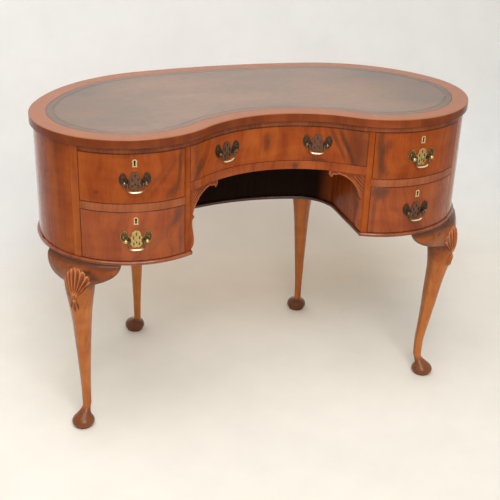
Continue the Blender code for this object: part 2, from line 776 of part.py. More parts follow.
def make_desk():
    """Build every piece of the desk."""
    make_top()
    make_base()
    make_walls()
    make_kneehole()
    front = (plan_point(foremost_run - front_foot_along, front_foot_inset),
             plan_point(foremost_run - front_ankle_along, front_ankle_inset),
             plan_point(foremost_run - front_knee_along, front_knee_inset))
    rear = (plan_point(shoulder_run + back_foot_along, back_foot_inset),
            plan_point(shoulder_run + back_ankle_along, back_ankle_inset),
            plan_point(shoulder_run + back_knee_along, back_knee_inset))
    for side, sign, reach in (("left", -1, left_ear_reach), ("right", 1, right_ear_reach)):
        make_uprights(side, sign)
        make_shelves(side, sign)
        make_bracket(side, sign)
        ears = (foremost_run - front_knee_along, outer_ear_reach, reach)
        make_leg(side + "_front_leg", sign, front, front_knee_radius, ears)
        ears = (shoulder_run + back_knee_along, back_ear_reach, back_ear_reach)
        make_leg(side + "_back_leg", sign, rear, back_knee_radius, ears)

    round_plate = plate_mesh("round_front_plate", end_radius - wall_inset)
    hollow_plate = plate_mesh("hollow_front_plate", -(hollow_radius + wall_inset))
    bail = bail_mesh("bail")
    key_plate = key_plate_mesh()
    lock = lock_mesh()

    handle_x = (side_outer_x + drawer_outer_x) / 2
    tiers = (("upper", upper_drawer_bottom, drawer_top), ("lower", base_top, lower_drawer_top))
    for side, sign in (("left", -1), ("right", 1)):
        ends = sorted((sign * side_outer_x, sign * drawer_outer_x))
        x = sign * handle_x
        for tier, low, high in tiers:
            stem = side + "_" + tier
            body = make_drawer(stem + "_drawer", *ends, low, high)
            handle_z = (low + high) / 2 - handle_drop
            fit_on_front(stem + "_handle_plate", round_plate, aged_brass, x, handle_z, body)
            fit_on_front(stem + "_bail", bail, aged_brass, x, handle_z, body, bail_reach)
            fit_on_front(stem + "_key_plate", key_plate, bone, x, high - key_drop, body)
            fit_on_front(stem + "_lock", lock, steel, x, high - key_drop, body)

    low, high = centre_drawer_bottom, drawer_top
    body = make_drawer("centre_drawer", -side_inner_x, side_inner_x, low, high)
    for side, sign in (("left", -1), ("right", 1)):
        stem = "centre_" + side
        x = sign * side_inner_x * centre_handle_share
        fit_on_front(stem + "_handle_plate", hollow_plate, aged_brass, x, (low + high) / 2, body)
        fit_on_front(stem + "_bail", bail, aged_brass, x, (low + high) / 2, body, bail_reach)


make_desk()
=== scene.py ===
from math import acos, asin, atan2, ceil, copysign, cos, dist, hypot, pi, radians, sin, sqrt

import bmesh
import bpy
from mathutils import Matrix, Vector
from mathutils.bvhtree import BVHTree


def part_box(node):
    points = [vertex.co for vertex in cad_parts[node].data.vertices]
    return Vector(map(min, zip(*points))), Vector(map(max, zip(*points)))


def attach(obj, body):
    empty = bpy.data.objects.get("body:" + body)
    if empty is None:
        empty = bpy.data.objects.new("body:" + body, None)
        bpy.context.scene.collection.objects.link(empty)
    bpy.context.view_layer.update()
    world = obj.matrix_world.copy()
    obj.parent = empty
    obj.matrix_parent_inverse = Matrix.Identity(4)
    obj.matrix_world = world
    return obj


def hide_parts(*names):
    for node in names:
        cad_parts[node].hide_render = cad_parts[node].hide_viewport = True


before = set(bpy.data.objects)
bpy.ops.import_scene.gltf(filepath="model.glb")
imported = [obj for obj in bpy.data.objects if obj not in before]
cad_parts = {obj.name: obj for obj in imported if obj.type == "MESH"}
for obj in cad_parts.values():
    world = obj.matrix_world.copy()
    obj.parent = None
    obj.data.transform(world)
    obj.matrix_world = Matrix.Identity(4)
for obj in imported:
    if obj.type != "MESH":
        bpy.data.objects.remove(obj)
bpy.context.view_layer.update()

# The plan of the desk, as in the CAD: round ends, bowed back and hollow front, all tangent arcs
plan = {
    "width": 1.066, "depth": 0.544, "endRadius": 0.224, "shoulderRadius": 0.365,
    "hollowRadius": 0.271, "backRise": 0.135, "step": 0.007,
    "wall": 0.008, "wallBack": 0.02, "railBack": 0.03, "frontBack": 0.026,
    "sideInner": 0.2105, "sideOuter": 0.2225, "drawerOuter": 0.45, "stileWidth": 0.021,
}
# Heights of the edges between the pieces
levels = {
    "top": 0.765, "underside": 0.745, "railBottom": 0.7315, "bladeTop": 0.617, "bladeBottom": 0.598,
    "baseTop": 0.48, "carcassBottom": 0.472, "centreBottom": 0.646, "apronBottom": 0.6258,
}
clear = {"gap": 0.0003, "reveal": 0.0006}
sides = (("right", 1), ("left", -1))

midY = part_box("top_board")[1].y - plan["depth"] / 2      # where the plan's middle stands in the frame


def heading(angle):
    return Vector((cos(angle), sin(angle)))


# Plan arcs
def layArcs():
    endR, shoulderR, hollowR = plan["endRadius"], plan["shoulderRadius"], plan["hollowRadius"]
    end = Vector((plan["width"] / 2 - endR, midY + endR - plan["depth"] / 2))
    room = plan["depth"] - 2 * endR
    rise = room * plan["backRise"]
    span = shoulderR - endR
    endStart = asin(1 - (room - rise) / span)
    shoulder = end - heading(endStart) * span
    backR = shoulderR + (shoulder.x ** 2 + rise ** 2) / (2 * rise)
    back = Vector((0.0, midY + plan["depth"] / 2 - backR))
    hollow = Vector((0.0, end.y - sqrt((endR + hollowR) ** 2 - end.x ** 2)))
    shoulderStart = atan2(shoulder.y - back.y, shoulder.x - back.x)
    endStop = atan2(hollow.y - end.y, hollow.x - end.x)
    right = [(back, backR, pi / 2, shoulderStart), (shoulder, shoulderR, shoulderStart, endStart),
             (end, endR, endStart, endStop)]
    arcs = right + [(hollow, -hollowR, endStop + pi, -endStop)]
    for centre, radius, first, last in reversed(right):
        arcs.append((Vector((-centre.x, centre.y)), radius, pi - last, pi - first))
    return [{"centre": c, "radius": r, "first": a, "last": b, "length": abs(r * (b - a))} for c, r, a, b in arcs]


arcs = layArcs()
wholeRun = sum(arc["length"] for arc in arcs)
shoulderRun = arcs[0]["length"]
endRun = shoulderRun + arcs[1]["length"]
endCentre = arcs[2]["centre"]
hollowCentre = arcs[3]["centre"]


def planPoint(run, inset):      # point of the outline at a run from mid back, over the right end, moved inward
    for arc in arcs:
        if run <= arc["length"] or arc is arcs[-1]:
            break
        run -= arc["length"]
    angle = arc["first"] + (arc["last"] - arc["first"]) * run / arc["length"]
    return arc["centre"] + heading(angle) * abs(arc["radius"] - inset)


def onHollow(x, inset):
    return abs(x) < endCentre.x * (plan["hollowRadius"] + inset) / (plan["hollowRadius"] + plan["endRadius"])


def frontRun(x, inset=0.008):      # run at which the front line passes a given x
    reach = abs(x)
    if onHollow(reach, inset):
        run = wholeRun / 2 - plan["hollowRadius"] * asin(reach / (plan["hollowRadius"] + inset))
    else:
        across = acos((reach - endCentre.x) / (plan["endRadius"] - inset))
        run = endRun + plan["endRadius"] * (arcs[2]["first"] + across)
    return run if x >= 0 else wholeRun - run


def frontY(x, inset=0.008):
    if onHollow(x, inset):
        return hollowCentre.y + sqrt((plan["hollowRadius"] + inset) ** 2 - x ** 2)
    return endCentre.y - sqrt((plan["endRadius"] - inset) ** 2 - (abs(x) - endCentre.x) ** 2)


# Mesh helpers
def vertsOf(geometry):
    return [part for part in geometry if isinstance(part, bmesh.types.BMVert)]


def chainOf(mesh, verts, closed=True):      # edges from each vertex to the next
    return [mesh.edges.new(pair) for pair in zip(verts, verts[1:] + verts[:1] if closed else verts[1:])]


def closeHoles(mesh):
    bmesh.ops.holes_fill(mesh, edges=[edge for edge in mesh.edges if edge.is_boundary], sides=0)


def closeOutward(mesh):
    bmesh.ops.recalc_face_normals(mesh, faces=mesh.faces)
    if mesh.calc_volume(signed=True) < 0:
        bmesh.ops.reverse_faces(mesh, faces=mesh.faces)


def cutAcross(mesh, place, normal, **settings):
    parts = mesh.verts[:] + mesh.edges[:] + mesh.faces[:]
    bmesh.ops.bisect_plane(mesh, geom=parts, plane_co=place, plane_no=normal, **settings)


def raiseFaces(mesh, faces, shift=(0.0, 0.0, 0.0)):      # gives back the raised vertices
    verts = vertsOf(bmesh.ops.extrude_face_region(mesh, geom=faces)["geom"])
    bmesh.ops.translate(mesh, verts=verts, vec=shift)
    return verts


def pullEdges(mesh, edges, shift):
    verts = vertsOf(bmesh.ops.extrude_edge_only(mesh, edges=edges)["geom"])
    bmesh.ops.translate(mesh, verts=verts, vec=shift)


def sweepPlan(section, start, stop, closedSection=True):      # a section of insets and heights, run round the plan
    mesh = bmesh.new()
    runLayer = mesh.verts.layers.float.new("run")
    sideLayer = mesh.verts.layers.float.new("side")
    points, passed = [], 0.0
    for k, (inset, height) in enumerate(section):
        vert = mesh.verts.new((*planPoint(start, inset), height))
        if k:
            passed += dist(section[k - 1], (inset, height))
        vert[runLayer], vert[sideLayer] = start, passed
        points.append(vert)
    last = points + chainOf(mesh, points, closedSection)
    run, before = start, 0.0
    for arc in arcs:
        low = start if arc is arcs[0] else max(start, before)
        high = min(stop, before + arc["length"])
        before += arc["length"]
        if high - low < 1e-6:
            continue
        steps = max(1, ceil((high - low) / plan["step"]))
        turn = (arc["last"] - arc["first"]) * (high - low) / arc["length"] / steps
        for _ in range(steps):
            last = bmesh.ops.spin(mesh, geom=last, cent=(*arc["centre"], 0.0), axis=(0.0, 0.0, 1.0), angle=turn,
                                  steps=1, use_merge=False, use_duplicate=False)["geom_last"]
            run += (high - low) / steps
            for vert in vertsOf(last):
                vert[runLayer] = run
    return mesh


def mapRuns(mesh, middle, perimeter=0.0):      # UV in metres: along the run from its middle, and round the section
    runLayer = mesh.verts.layers.float["run"]
    sideLayer = mesh.verts.layers.float["side"]
    uv = mesh.loops.layers.uv.new("UVMap")
    for face in mesh.faces:
        runs = [loop.vert[runLayer] for loop in face.loops]
        sides = [loop.vert[sideLayer] for loop in face.loops]
        wrapRun = max(runs) - min(runs) > wholeRun / 2
        wrapSide = perimeter and max(sides) - min(sides) > perimeter / 2 and len(face.loops) == 4
        for loop, run, side in zip(face.loops, runs, sides):
            if wrapRun and run < wholeRun / 2:
                run += wholeRun
            if wrapSide and side < perimeter / 2:
                side += perimeter
            loop[uv].uv = (middle - run, side)


def toData(mesh, name):
    data = bpy.data.meshes.new(name)
    mesh.to_mesh(data)
    mesh.free()
    return data


def addObject(name, data):
    made = bpy.data.objects.new(name, data)
    bpy.context.scene.collection.objects.link(made)
    return made


def finishPiece(mesh, name, body, finish, nodes=(), smooth=30.0, bevel=0.0, bevelAngle=40.0):
    data = toData(mesh, name)
    data.shade_smooth()
    data.set_sharp_from_angle(angle=radians(smooth))
    piece = addObject(name, data)
    data.materials.append(finish)
    if bevel:
        edge = piece.modifiers.new("edge", "BEVEL")
        edge.width, edge.segments, edge.limit_method = bevel, 2, "ANGLE"
        edge.angle_limit = radians(bevelAngle)
        edge.harden_normals = False
    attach(piece, body)
    if nodes:
        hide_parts(*nodes)
    return piece


softEdge = 0.0005      # bevel of the sawn pieces
overrun = 0.012        # what a swept piece is longer before its ends are cut flat


def sweptPiece(name, node, section, ends, finish, body="carcass", flatEnds=True):
    start, stop = ends      # run of the right end and of the left end, or x of both where the ends are flat
    if flatEnds:
        middle = (frontRun(start) + frontRun(stop)) / 2
        mesh = sweepPlan(section, frontRun(start) - overrun, frontRun(stop) + overrun)
        for x, normal in ((start, 1.0), (stop, -1.0)):
            cutAcross(mesh, (x, 0.0, 0.0), (normal, 0.0, 0.0), dist=1e-6, clear_outer=True)
    else:
        middle = (start + stop) / 2
        mesh = sweepPlan(section, start, stop)
    closeHoles(mesh)
    closeOutward(mesh)
    mapRuns(mesh, middle, sum(dist(a, b) for a, b in zip(section, section[1:] + section[:1])))
    return finishPiece(mesh, name, body, finish, [node], bevel=softEdge)


def sweptRing(name, node, section, finish):      # a ring round the whole plan, filled in its middle
    mesh = sweepPlan(section, 0.0, wholeRun, closedSection=False)
    bmesh.ops.remove_doubles(mesh, verts=mesh.verts, dist=1e-5)
    closeHoles(mesh)
    closeOutward(mesh)
    mapRuns(mesh, wholeRun / 2)
    finishPiece(mesh, name, "carcass", finish, [node])


def band(front, back, low, high):      # section of a plain strip: its face first, so that its UV starts at the foot
    return [(front, low), (front, high), (back, high), (back, low)]


# Material helpers
bench = {}      # holds the node tree being worked on


def openTree(owner):
    owner.use_nodes = True
    bench["tree"] = owner.node_tree


def newFinish(name):
    material = bpy.data.materials.new(name)
    openTree(material)
    return material, material.node_tree.nodes["Principled BSDF"]


def link(socket, target):
    bench["tree"].links.new(socket, target)


def addNode(kind, values=None, output=0, **settings):      # gives back one output of the new node
    made = bench["tree"].nodes.new("ShaderNode" + kind)
    for key, value in settings.items():
        setattr(made, key, value)
    for socket, value in (values or {}).items():
        if isinstance(value, bpy.types.NodeSocket):
            link(value, made.inputs[socket])
        else:
            made.inputs[socket].default_value = value
    return made.outputs[output]


def blend(mode, factor, below, above):
    below, above = ((*tone, 1.0) if isinstance(tone, tuple) else tone for tone in (below, above))
    return addNode("Mix", {0: factor, 6: below, 7: above}, 2, data_type="RGBA", blend_type=mode)


def tinted(colour, shade):      # a colour times a grey
    return blend("MULTIPLY", 1.0, colour, addNode("CombineColor", {0: shade, 1: shade, 2: shade}))


def ramp(value, stops):
    made = addNode("ValToRGB", {"Fac": value})
    elements = made.node.color_ramp.elements
    while len(elements) < len(stops):
        elements.new(0.5)
    for element, (place, colour) in zip(elements, stops):
        element.position = place
        element.color = (*colour, 1.0)
    return made


def spread(value, low, high, toLow, toHigh, kind="LINEAR"):
    values = {"Value": value, "From Min": low, "From Max": high, "To Min": toLow, "To Max": toHigh}
    return addNode("MapRange", values, interpolation_type=kind)


def fade(value, low, high, toLow, toHigh):
    return spread(value, low, high, toLow, toHigh, "SMOOTHSTEP")


def swing(noise, low, high):      # a noise stays between these shares for nearly all of its area
    return spread(noise, 0.3, 0.7, low, high)


def calc(how, first, second=0.0):
    return addNode("Math", {0: first, 1: second}, operation=how)


def surface(kind="Object"):
    return addNode("TexCoord", output=kind)


def axisOf(vector, axis):
    return addNode("SeparateXYZ", {0: vector}, axis)


def lengthOf(vector):
    return addNode("VectorMath", {0: vector}, "Value", operation="LENGTH")


def waved(place, scale, detail, amount):      # a place moved about by a noise of its own
    noise = addNode("TexNoise", {"Vector": place, "Scale": scale, "Detail": detail}, 1)
    centred = addNode("VectorMath", {0: noise, 1: (0.5, 0.5, 0.5)}, operation="SUBTRACT")
    shift = addNode("VectorMath", {0: centred, "Scale": amount}, operation="SCALE")
    return addNode("VectorMath", {0: place, 1: shift})


def speckle(place, scale, detail=3.0, rough=0.5, squeeze=(1.0, 1.0, 1.0), turn=(0.0, 0.0, 0.0)):
    placed = addNode("Mapping", {"Vector": place, "Rotation": turn, "Scale": squeeze})
    return addNode("TexNoise", {"Vector": placed, "Scale": scale, "Detail": detail, "Roughness": rough})


def coat(shader, colour, roughness, bump=None, values=None):      # bump is height, strength and distance
    link(colour, shader.inputs["Base Color"])
    link(roughness, shader.inputs["Roughness"])
    if bump:
        relief = addNode("Bump", dict(zip(("Height", "Strength", "Distance"), bump)))
        link(relief, shader.inputs["Normal"])
    for socket, value in (values or {}).items():
        shader.inputs[socket].default_value = value


grain = {      # each layer of figure: scale across, along and through the wood, detail and roughness
    "broad": ((26.0, 3.0, 26.0), 3.0, 0.55), "streak": ((130.0, 7.0, 130.0), 5.0, 0.62),
    "curl": ((9.0, 34.0, 9.0), 2.0, 0.5), "pores": ((1500.0, 70.0, 1500.0), 2.0, 0.5),
}
plainWood = {      # what holds where a wood's own entry says nothing else
    "seed": (0.0, 0.0, 0.0), "lean": 0.0, "wander": 7.0, "waver": 0.03, "stops": (0.31, 0.425, 0.54, 0.68),
    "broad": 0.5, "streak": 0.35, "curl": 0.15, "pores": 0.35, "grimeAndShade": 0.0022, "sheen": 0.16,
    "gloss": 0.27, "glossRange": 1.0, "glossSwing": (0.05, 0.08), "poreRange": (0.56, 0.7), "streakRise": 0.4,
    "bump": 0.12, "bumpDepth": 0.0006, "varnish": 0.5, "varnishIndex": 1.22, "varnishRough": 0.1,
}
frayed = (1.6, 4.0, 1.3)      # noise that frays the dark patches: scale, detail and amount
polishAndShade = {      # the darker and paler tones laid over the wood: some from age, some painted shade and painted highlight
    "pore": (0.05, 0.016, 0.006), "stain": (0.06, 0.024, 0.013), "grimeAndShade": (0.035, 0.012, 0.006),
    "rubbedAndHighlight": (0.68, 0.29, 0.115), "hollow": (0.06, 0.016, 0.006), "smokeAndShade": (0.042, 0.014, 0.006),
    "side": (0.06, 0.02, 0.007), "foot": (0.085, 0.026, 0.012), "old": (0.006, 0.002, 0.001),
    "kneehole": (0.01, 0.003, 0.0015),
}
ageAndShade = {      # masks for age marks and for painted shade: a range gives where it starts and ends, and often the shares there
    "crossJoint": (0.0, 0.012, 0.72, 1.0), "crossScatter": 0.8, "stain": (0.15, 1.35), "grimeAndShade": 0.75,
    "hollow": (0.35, 0.9), "footRange": (0.006, 0.008), "topRange": (0.001, 0.0005), "patchNoise": (14.0, 3.0, 0.5),
    "patch": (0.35, 0.62), "patchLeast": 0.55, "smokeNoise": (27.0, 5.0, 0.62), "smokeAndShade": (0.48, 0.66, 0.0, 0.8),
    "underside": (-0.12, -0.7, 0.0, 0.88), "mouldingShade": (0.456, 0.4705, 0.0, 0.82), "legSideShade": (0.72, 1.0),
    "footShadeBehind": (-0.1, 0.1, 0.68, 0.86), "topNoise": (40.0, 4.0, 0.6), "topFine": (0.975, 1.025),
    "topBroad": (-0.055, 0.055), "kneeholeSide": (0.215, 0.2, 0.0, 1.0), "kneeholeFront": (0.12, 0.08),
}


def woodFinish(name, look):
    material, shader = newFinish(name)
    look = {**plainWood, **look}
    along = look.get("along")      # the grain's axis in a solid piece, or none where it follows the piece's own UV
    coordinates = surface("Object" if along else "UV")
    turn = (pi / 2 if along == "z" else 0.0, 0.0, 0.0)
    place = addNode("Mapping", {"Vector": coordinates, "Location": look["seed"], "Rotation": turn})
    moved = waved(place, look["wander"], 2.0, look["waver"])
    lean = (0.0, 0.0, radians(look["lean"]))
    layers = {layer: speckle(moved, 1.0, detail, rough, squeeze, lean)
              for layer, (squeeze, detail, rough) in grain.items()}
    broad, streak, curl = (calc("MULTIPLY", layers[layer], look[layer]) for layer in ("broad", "streak", "curl"))
    tone = calc("ADD", calc("ADD", broad, streak), curl)
    colour = ramp(tone, list(zip(look["stops"], look["colours"])))

    def lay(weight, tone):
        nonlocal colour
        colour = blend("MIX", weight, colour, tone)

    pits = spread(layers["pores"], *look["poreRange"], 0.0, look["pores"])
    lay(pits, polishAndShade["pore"])
    if "segments" in look:      # crossbanding is laid in short lengths whose tones differ
        values = {"W": axisOf(coordinates, 0), "Scale": look["segments"], "Randomness": ageAndShade["crossScatter"]}
        lengths = addNode("TexVoronoi", values, "Color", voronoi_dimensions="1D")
        edge = addNode("TexVoronoi", values, "Distance", voronoi_dimensions="1D", feature="DISTANCE_TO_EDGE")
        shade = spread(addNode("SeparateColor", {0: lengths}), 0.0, 1.0, *look["segmentTone"])
        colour = tinted(colour, calc("MULTIPLY", shade, spread(edge, *ageAndShade["crossJoint"])))
    for x, y, wide, tall, tilt, strength, *own in look.get("stains", ()):
        away = addNode("Mapping", {"Vector": coordinates, "Location": (x, y, 0.0), "Scale": (wide, tall, 1.0),
                                   "Rotation": (0.0, 0.0, radians(tilt))}, vector_type="TEXTURE")
        away = addNode("VectorMath", {0: waved(away, *frayed), 1: (1.0, 1.0, 0.0)}, operation="MULTIPLY")
        lay(fade(lengthOf(away), *ageAndShade["stain"], strength, 0.0), own[0] if own else polishAndShade["stain"])
    if "edges" in look:      # grime along the edges of a front, with painted shade in the gaps round it
        width, height = look["edges"]
        sideways = calc("SUBTRACT", width / 2, calc("ABSOLUTE", axisOf(coordinates, 0)))
        up = axisOf(coordinates, 1)
        upward = calc("ABSOLUTE", calc("MINIMUM", up, calc("SUBTRACT", height, up)))
        near = calc("MINIMUM", sideways, upward)
        lay(fade(near, 0.0, look["grimeAndShade"], ageAndShade["grimeAndShade"], 0.0), polishAndShade["grimeAndShade"])
    if "carved" in look:      # dark polish stays in the hollows and the ridges are rubbed paler, which also paints shade in the hollows and highlights on the ridges
        hollow = addNode("Attribute", output="Fac", attribute_name="hollow")
        pale, deep = look["carved"]
        flat, deepest = ageAndShade["hollow"]
        lay(spread(hollow, flat, 0.0, 0.0, pale), polishAndShade["rubbedAndHighlight"])
        lay(spread(hollow, flat, deepest, 0.0, deep), polishAndShade["hollow"])
    if "head" in look:      # redder polish round the knees and ears with dark patches, and painted shade on faces that look down and under the moulding
        low, high, tone, share = look["head"]
        level = axisOf(coordinates, 2)
        upper = fade(level, low, high, 0.0, 1.0)
        patch = speckle(coordinates, *ageAndShade["patchNoise"])
        patch = fade(patch, *ageAndShade["patch"], share * ageAndShade["patchLeast"], share)
        lay(calc("MULTIPLY", patch, upper), tone)
        facing = axisOf(surface("Normal"), 2)
        smokeAndShade = fade(speckle(coordinates, *ageAndShade["smokeNoise"]), *ageAndShade["smokeAndShade"])
        smokeAndShade = calc("MAXIMUM", smokeAndShade, fade(facing, *ageAndShade["underside"]))
        smokeAndShade = calc("MAXIMUM", smokeAndShade, fade(level, *ageAndShade["mouldingShade"]))
        lay(calc("MULTIPLY", smokeAndShade, upper), polishAndShade["smokeAndShade"])
    if "sides" in look:      # painted shade: darker on the sides of the legs
        facing = calc("ABSOLUTE", axisOf(surface("Normal"), 0))
        lay(fade(facing, *ageAndShade["legSideShade"], 0.0, look["sides"]), polishAndShade["side"])
    if "feet" in look:      # the feet are darker than the legs, and the back feet darker still as painted shade
        below, above = ageAndShade["footRange"]
        dark = fade(axisOf(coordinates, 2), look["feet"] - below, look["feet"] + above, 1.0, 0.0)
        behind = spread(axisOf(coordinates, 1), *ageAndShade["footShadeBehind"])
        lay(calc("MULTIPLY", dark, behind), polishAndShade["foot"])
    if "fade" in look:      # painted shade, partly a dark-stained back: darker towards one side, deeper in the kneehole: axis, from, to, and both weights
        axis, first, last, light, deep = look["fade"]
        depth = axisOf(coordinates, axis)
        if axis == 0:      # alike on both sides
            depth = calc("ABSOLUTE", depth)
        lay(fade(depth, first, last, light, deep), polishAndShade["old"])
    if "above" in look:      # painted sheen: the flat top is paler than the edge
        level, pale = look["above"]
        below, above = ageAndShade["topRange"]
        upper = fade(axisOf(surface(), 2), level - below, level + above, 0.0, 1.0)
        fine = swing(speckle(coordinates, *ageAndShade["topNoise"]), *ageAndShade["topFine"])
        shade = calc("ADD", swing(layers["broad"], *ageAndShade["topBroad"]), fine)
        lay(upper, tinted(pale, shade))
    if "shade" in look:      # painted shade: darker inside the kneehole
        inside = fade(calc("ABSOLUTE", axisOf(surface(), 0)), *ageAndShade["kneeholeSide"])
        before = fade(axisOf(surface(), 1), *ageAndShade["kneeholeFront"], 0.0, look["shade"])
        lay(calc("MULTIPLY", inside, before), polishAndShade["kneehole"])
    gloss, mixed = look["gloss"], look["glossRange"]
    less, more = look["glossSwing"]
    roughness = swing(layers["streak"], gloss - less * mixed, gloss + more * mixed)
    height = calc("SUBTRACT", calc("MULTIPLY", layers["streak"], look["streakRise"]), pits)
    coat(shader, colour, roughness, (height, look["bump"], look["bumpDepth"]),
         {"Specular IOR Level": look["sheen"], "Coat Weight": look["varnish"], "Coat IOR": look["varnishIndex"],
          "Coat Roughness": look["varnishRough"]})
    return material


# Camera, light and floor
view = {
    "place": (-0.672, -2.0626, 1.4031), "yaw": 16.9485, "pitch": 24.5129, "roll": 1.3332,
    "lens": 66.48, "shift": (0.04, -0.05),
}


def setCamera():
    yaw, pitch, roll = (radians(view[key]) for key in ("yaw", "pitch", "roll"))
    forward = Vector((sin(yaw) * cos(pitch), cos(yaw) * cos(pitch), -sin(pitch)))
    right = Vector((cos(yaw), -sin(yaw), 0.0))
    up = right.cross(forward)
    side = right * cos(roll) + up * sin(roll)
    above = -right * sin(roll) + up * cos(roll)
    lens = bpy.data.cameras.new("deskCamera")
    lens.lens, lens.sensor_width = view["lens"], 36.0
    lens.shift_x, lens.shift_y = view["shift"]
    camera = addObject("deskCamera", lens)
    turn = Matrix((side, above, -forward)).transposed()
    camera.matrix_world = Matrix.Translation(Vector(view["place"]) + Vector((0.0, midY, 0.0))) @ turn.to_4x4()
    bpy.context.scene.camera = camera


room = {
    "floorColour": (0.875, 0.84, 0.765), "wallColour": (0.87, 0.88, 0.88), "wallY": 1.05, "bend": 0.45,
    "halfWidth": 6.0, "front": -6.0, "height": 5.0,
    "shadeAt": (0.24, 0.62, 0.0), "shadeSize": (0.9, 0.6, 0.9), "shadeShare": 0.8,
    "shadeColour": (0.8, 0.7, 0.6), "shadeRange": (0.35, 1.0), "riseFrom": 0.25, "specks": (7.0, 5.0, 0.6),
    "specked": (0.965, 1.02), "roughness": 0.7, "sheen": 0.2,
    "worldColour": (1.0, 0.935, 0.85), "worldStrength": 0.31, "worldSeen": 0.9,
}
lamps = [
    {"name": "topLamp", "place": (-0.55, -0.8, 3.0), "aim": (0.05, 0.05, 0.3), "size": 2.2, "power": 45.0,
     "colour": (1.0, 1.0, 1.0)},
    {"name": "frontLamp", "place": (-0.3, -2.4, 2.4), "aim": (0.05, 0.0, 0.5), "size": 1.7, "power": 50.0,
     "colour": (1.0, 1.0, 0.99)},
]


def setRoom():
    side, floorBack, bend = room["halfWidth"], room["wallY"] - room["bend"], room["bend"]
    mesh = bmesh.new()
    start = mesh.verts.new((-side, room["front"], 0.0))
    corner = mesh.verts.new((-side, floorBack, 0.0))
    mesh.edges.new((start, corner))
    spun = bmesh.ops.spin(mesh, geom=[corner], cent=(-side, floorBack, bend), axis=(1.0, 0.0, 0.0),
                          angle=pi / 2, steps=24)
    raised = bmesh.ops.extrude_vert_indiv(mesh, verts=vertsOf(spun["geom_last"])[:1])["verts"]
    bmesh.ops.translate(mesh, verts=raised, vec=(0.0, 0.0, room["height"]))
    pullEdges(mesh, mesh.edges[:], (2 * side, 0.0, 0.0))
    bmesh.ops.recalc_face_normals(mesh, faces=mesh.faces)
    if mesh.faces[0].normal.z < 0:
        bmesh.ops.reverse_faces(mesh, faces=mesh.faces)
    data = toData(mesh, "studioFloor")
    data.shade_smooth()
    floor = addObject("studioFloor", data)
    material, shader = newFinish("studioFloor")
    place = surface()
    rise = fade(axisOf(place, 1), floorBack - room["riseFrom"], room["wallY"], 0.0, 1.0)
    mottle = swing(speckle(place, *room["specks"]), *room["specked"])
    colour = tinted(blend("MIX", rise, room["floorColour"], room["wallColour"]), mottle)
    around = addNode("Mapping", {"Vector": place, "Location": room["shadeAt"], "Scale": room["shadeSize"]},
                     vector_type="TEXTURE")
    shade = fade(lengthOf(around), *room["shadeRange"], room["shadeShare"], 0.0)      # painted warm shadow under and behind the desk
    colour = blend("MULTIPLY", shade, colour, room["shadeColour"])
    link(colour, shader.inputs["Base Color"])
    shader.inputs["Roughness"].default_value = room["roughness"]
    shader.inputs["Specular IOR Level"].default_value = room["sheen"]
    behind = addNode("NewGeometry", output="Backfacing")      # clear from behind, for looks at the back
    sides = addNode("MixShader", {0: behind, 1: shader.outputs[0], 2: addNode("BsdfTransparent")})
    link(sides, material.node_tree.nodes["Material Output"].inputs[0])
    data.materials.append(material)


def setLight():
    world = bpy.data.worlds.new("studio")
    bpy.context.scene.world = world
    openTree(world)
    backdrop = world.node_tree.nodes["Background"]
    backdrop.inputs["Color"].default_value = (*room["worldColour"], 1.0)
    camera, glossy = (addNode("LightPath", output=kind) for kind in ("Is Camera Ray", "Is Glossy Ray"))
    seen = calc("MAXIMUM", camera, glossy)
    strength = spread(seen, 0.0, 1.0, room["worldStrength"], room["worldSeen"])
    link(strength, backdrop.inputs["Strength"])
    for lamp in lamps:
        light = bpy.data.lights.new(lamp["name"], "AREA")
        light.shape, light.size, light.energy, light.color = "DISK", lamp["size"], lamp["power"], lamp["colour"]
        place, aim = Vector(lamp["place"]), Vector(lamp["aim"])
        turn = (aim - place).to_track_quat("-Z", "Y").to_matrix().to_4x4()
        addObject(lamp["name"], light).matrix_world = Matrix.Translation(place) @ turn
    bpy.context.scene.view_settings.view_transform = "Standard"


setCamera()
setRoom()
setLight()
print("camera, room and light are set")

# Finishes
redWalnut = ((0.175, 0.027, 0.0036), (0.24, 0.041, 0.0055), (0.325, 0.064, 0.009), (0.415, 0.098, 0.017))
edgeWalnut = ((0.17, 0.031, 0.006), (0.245, 0.051, 0.01), (0.3, 0.069, 0.013), (0.35, 0.09, 0.019))
orangeWalnut = ((0.2, 0.034, 0.0032), (0.29, 0.054, 0.0052), (0.375, 0.082, 0.008), (0.46, 0.117, 0.014))
legWalnut = ((0.22, 0.047, 0.007), (0.36, 0.094, 0.014), (0.455, 0.134, 0.022), (0.54, 0.175, 0.034))
railWalnut = ((0.15, 0.03, 0.008), (0.22, 0.048, 0.012), (0.28, 0.068, 0.018), (0.35, 0.095, 0.028))
bladeWalnut = ((0.22, 0.048, 0.013), (0.29, 0.074, 0.022), (0.34, 0.094, 0.03), (0.39, 0.115, 0.04))
carvedWalnut = ((0.22, 0.042, 0.008), (0.3, 0.066, 0.013), (0.37, 0.092, 0.02), (0.44, 0.125, 0.032))
paleLining = ((0.22, 0.12, 0.055), (0.34, 0.2, 0.1), (0.44, 0.28, 0.15), (0.52, 0.35, 0.2))
nearBlack = ((0.003, 0.0015, 0.0008), (0.005, 0.0022, 0.001), (0.008, 0.003, 0.0014), (0.012, 0.0045, 0.002))

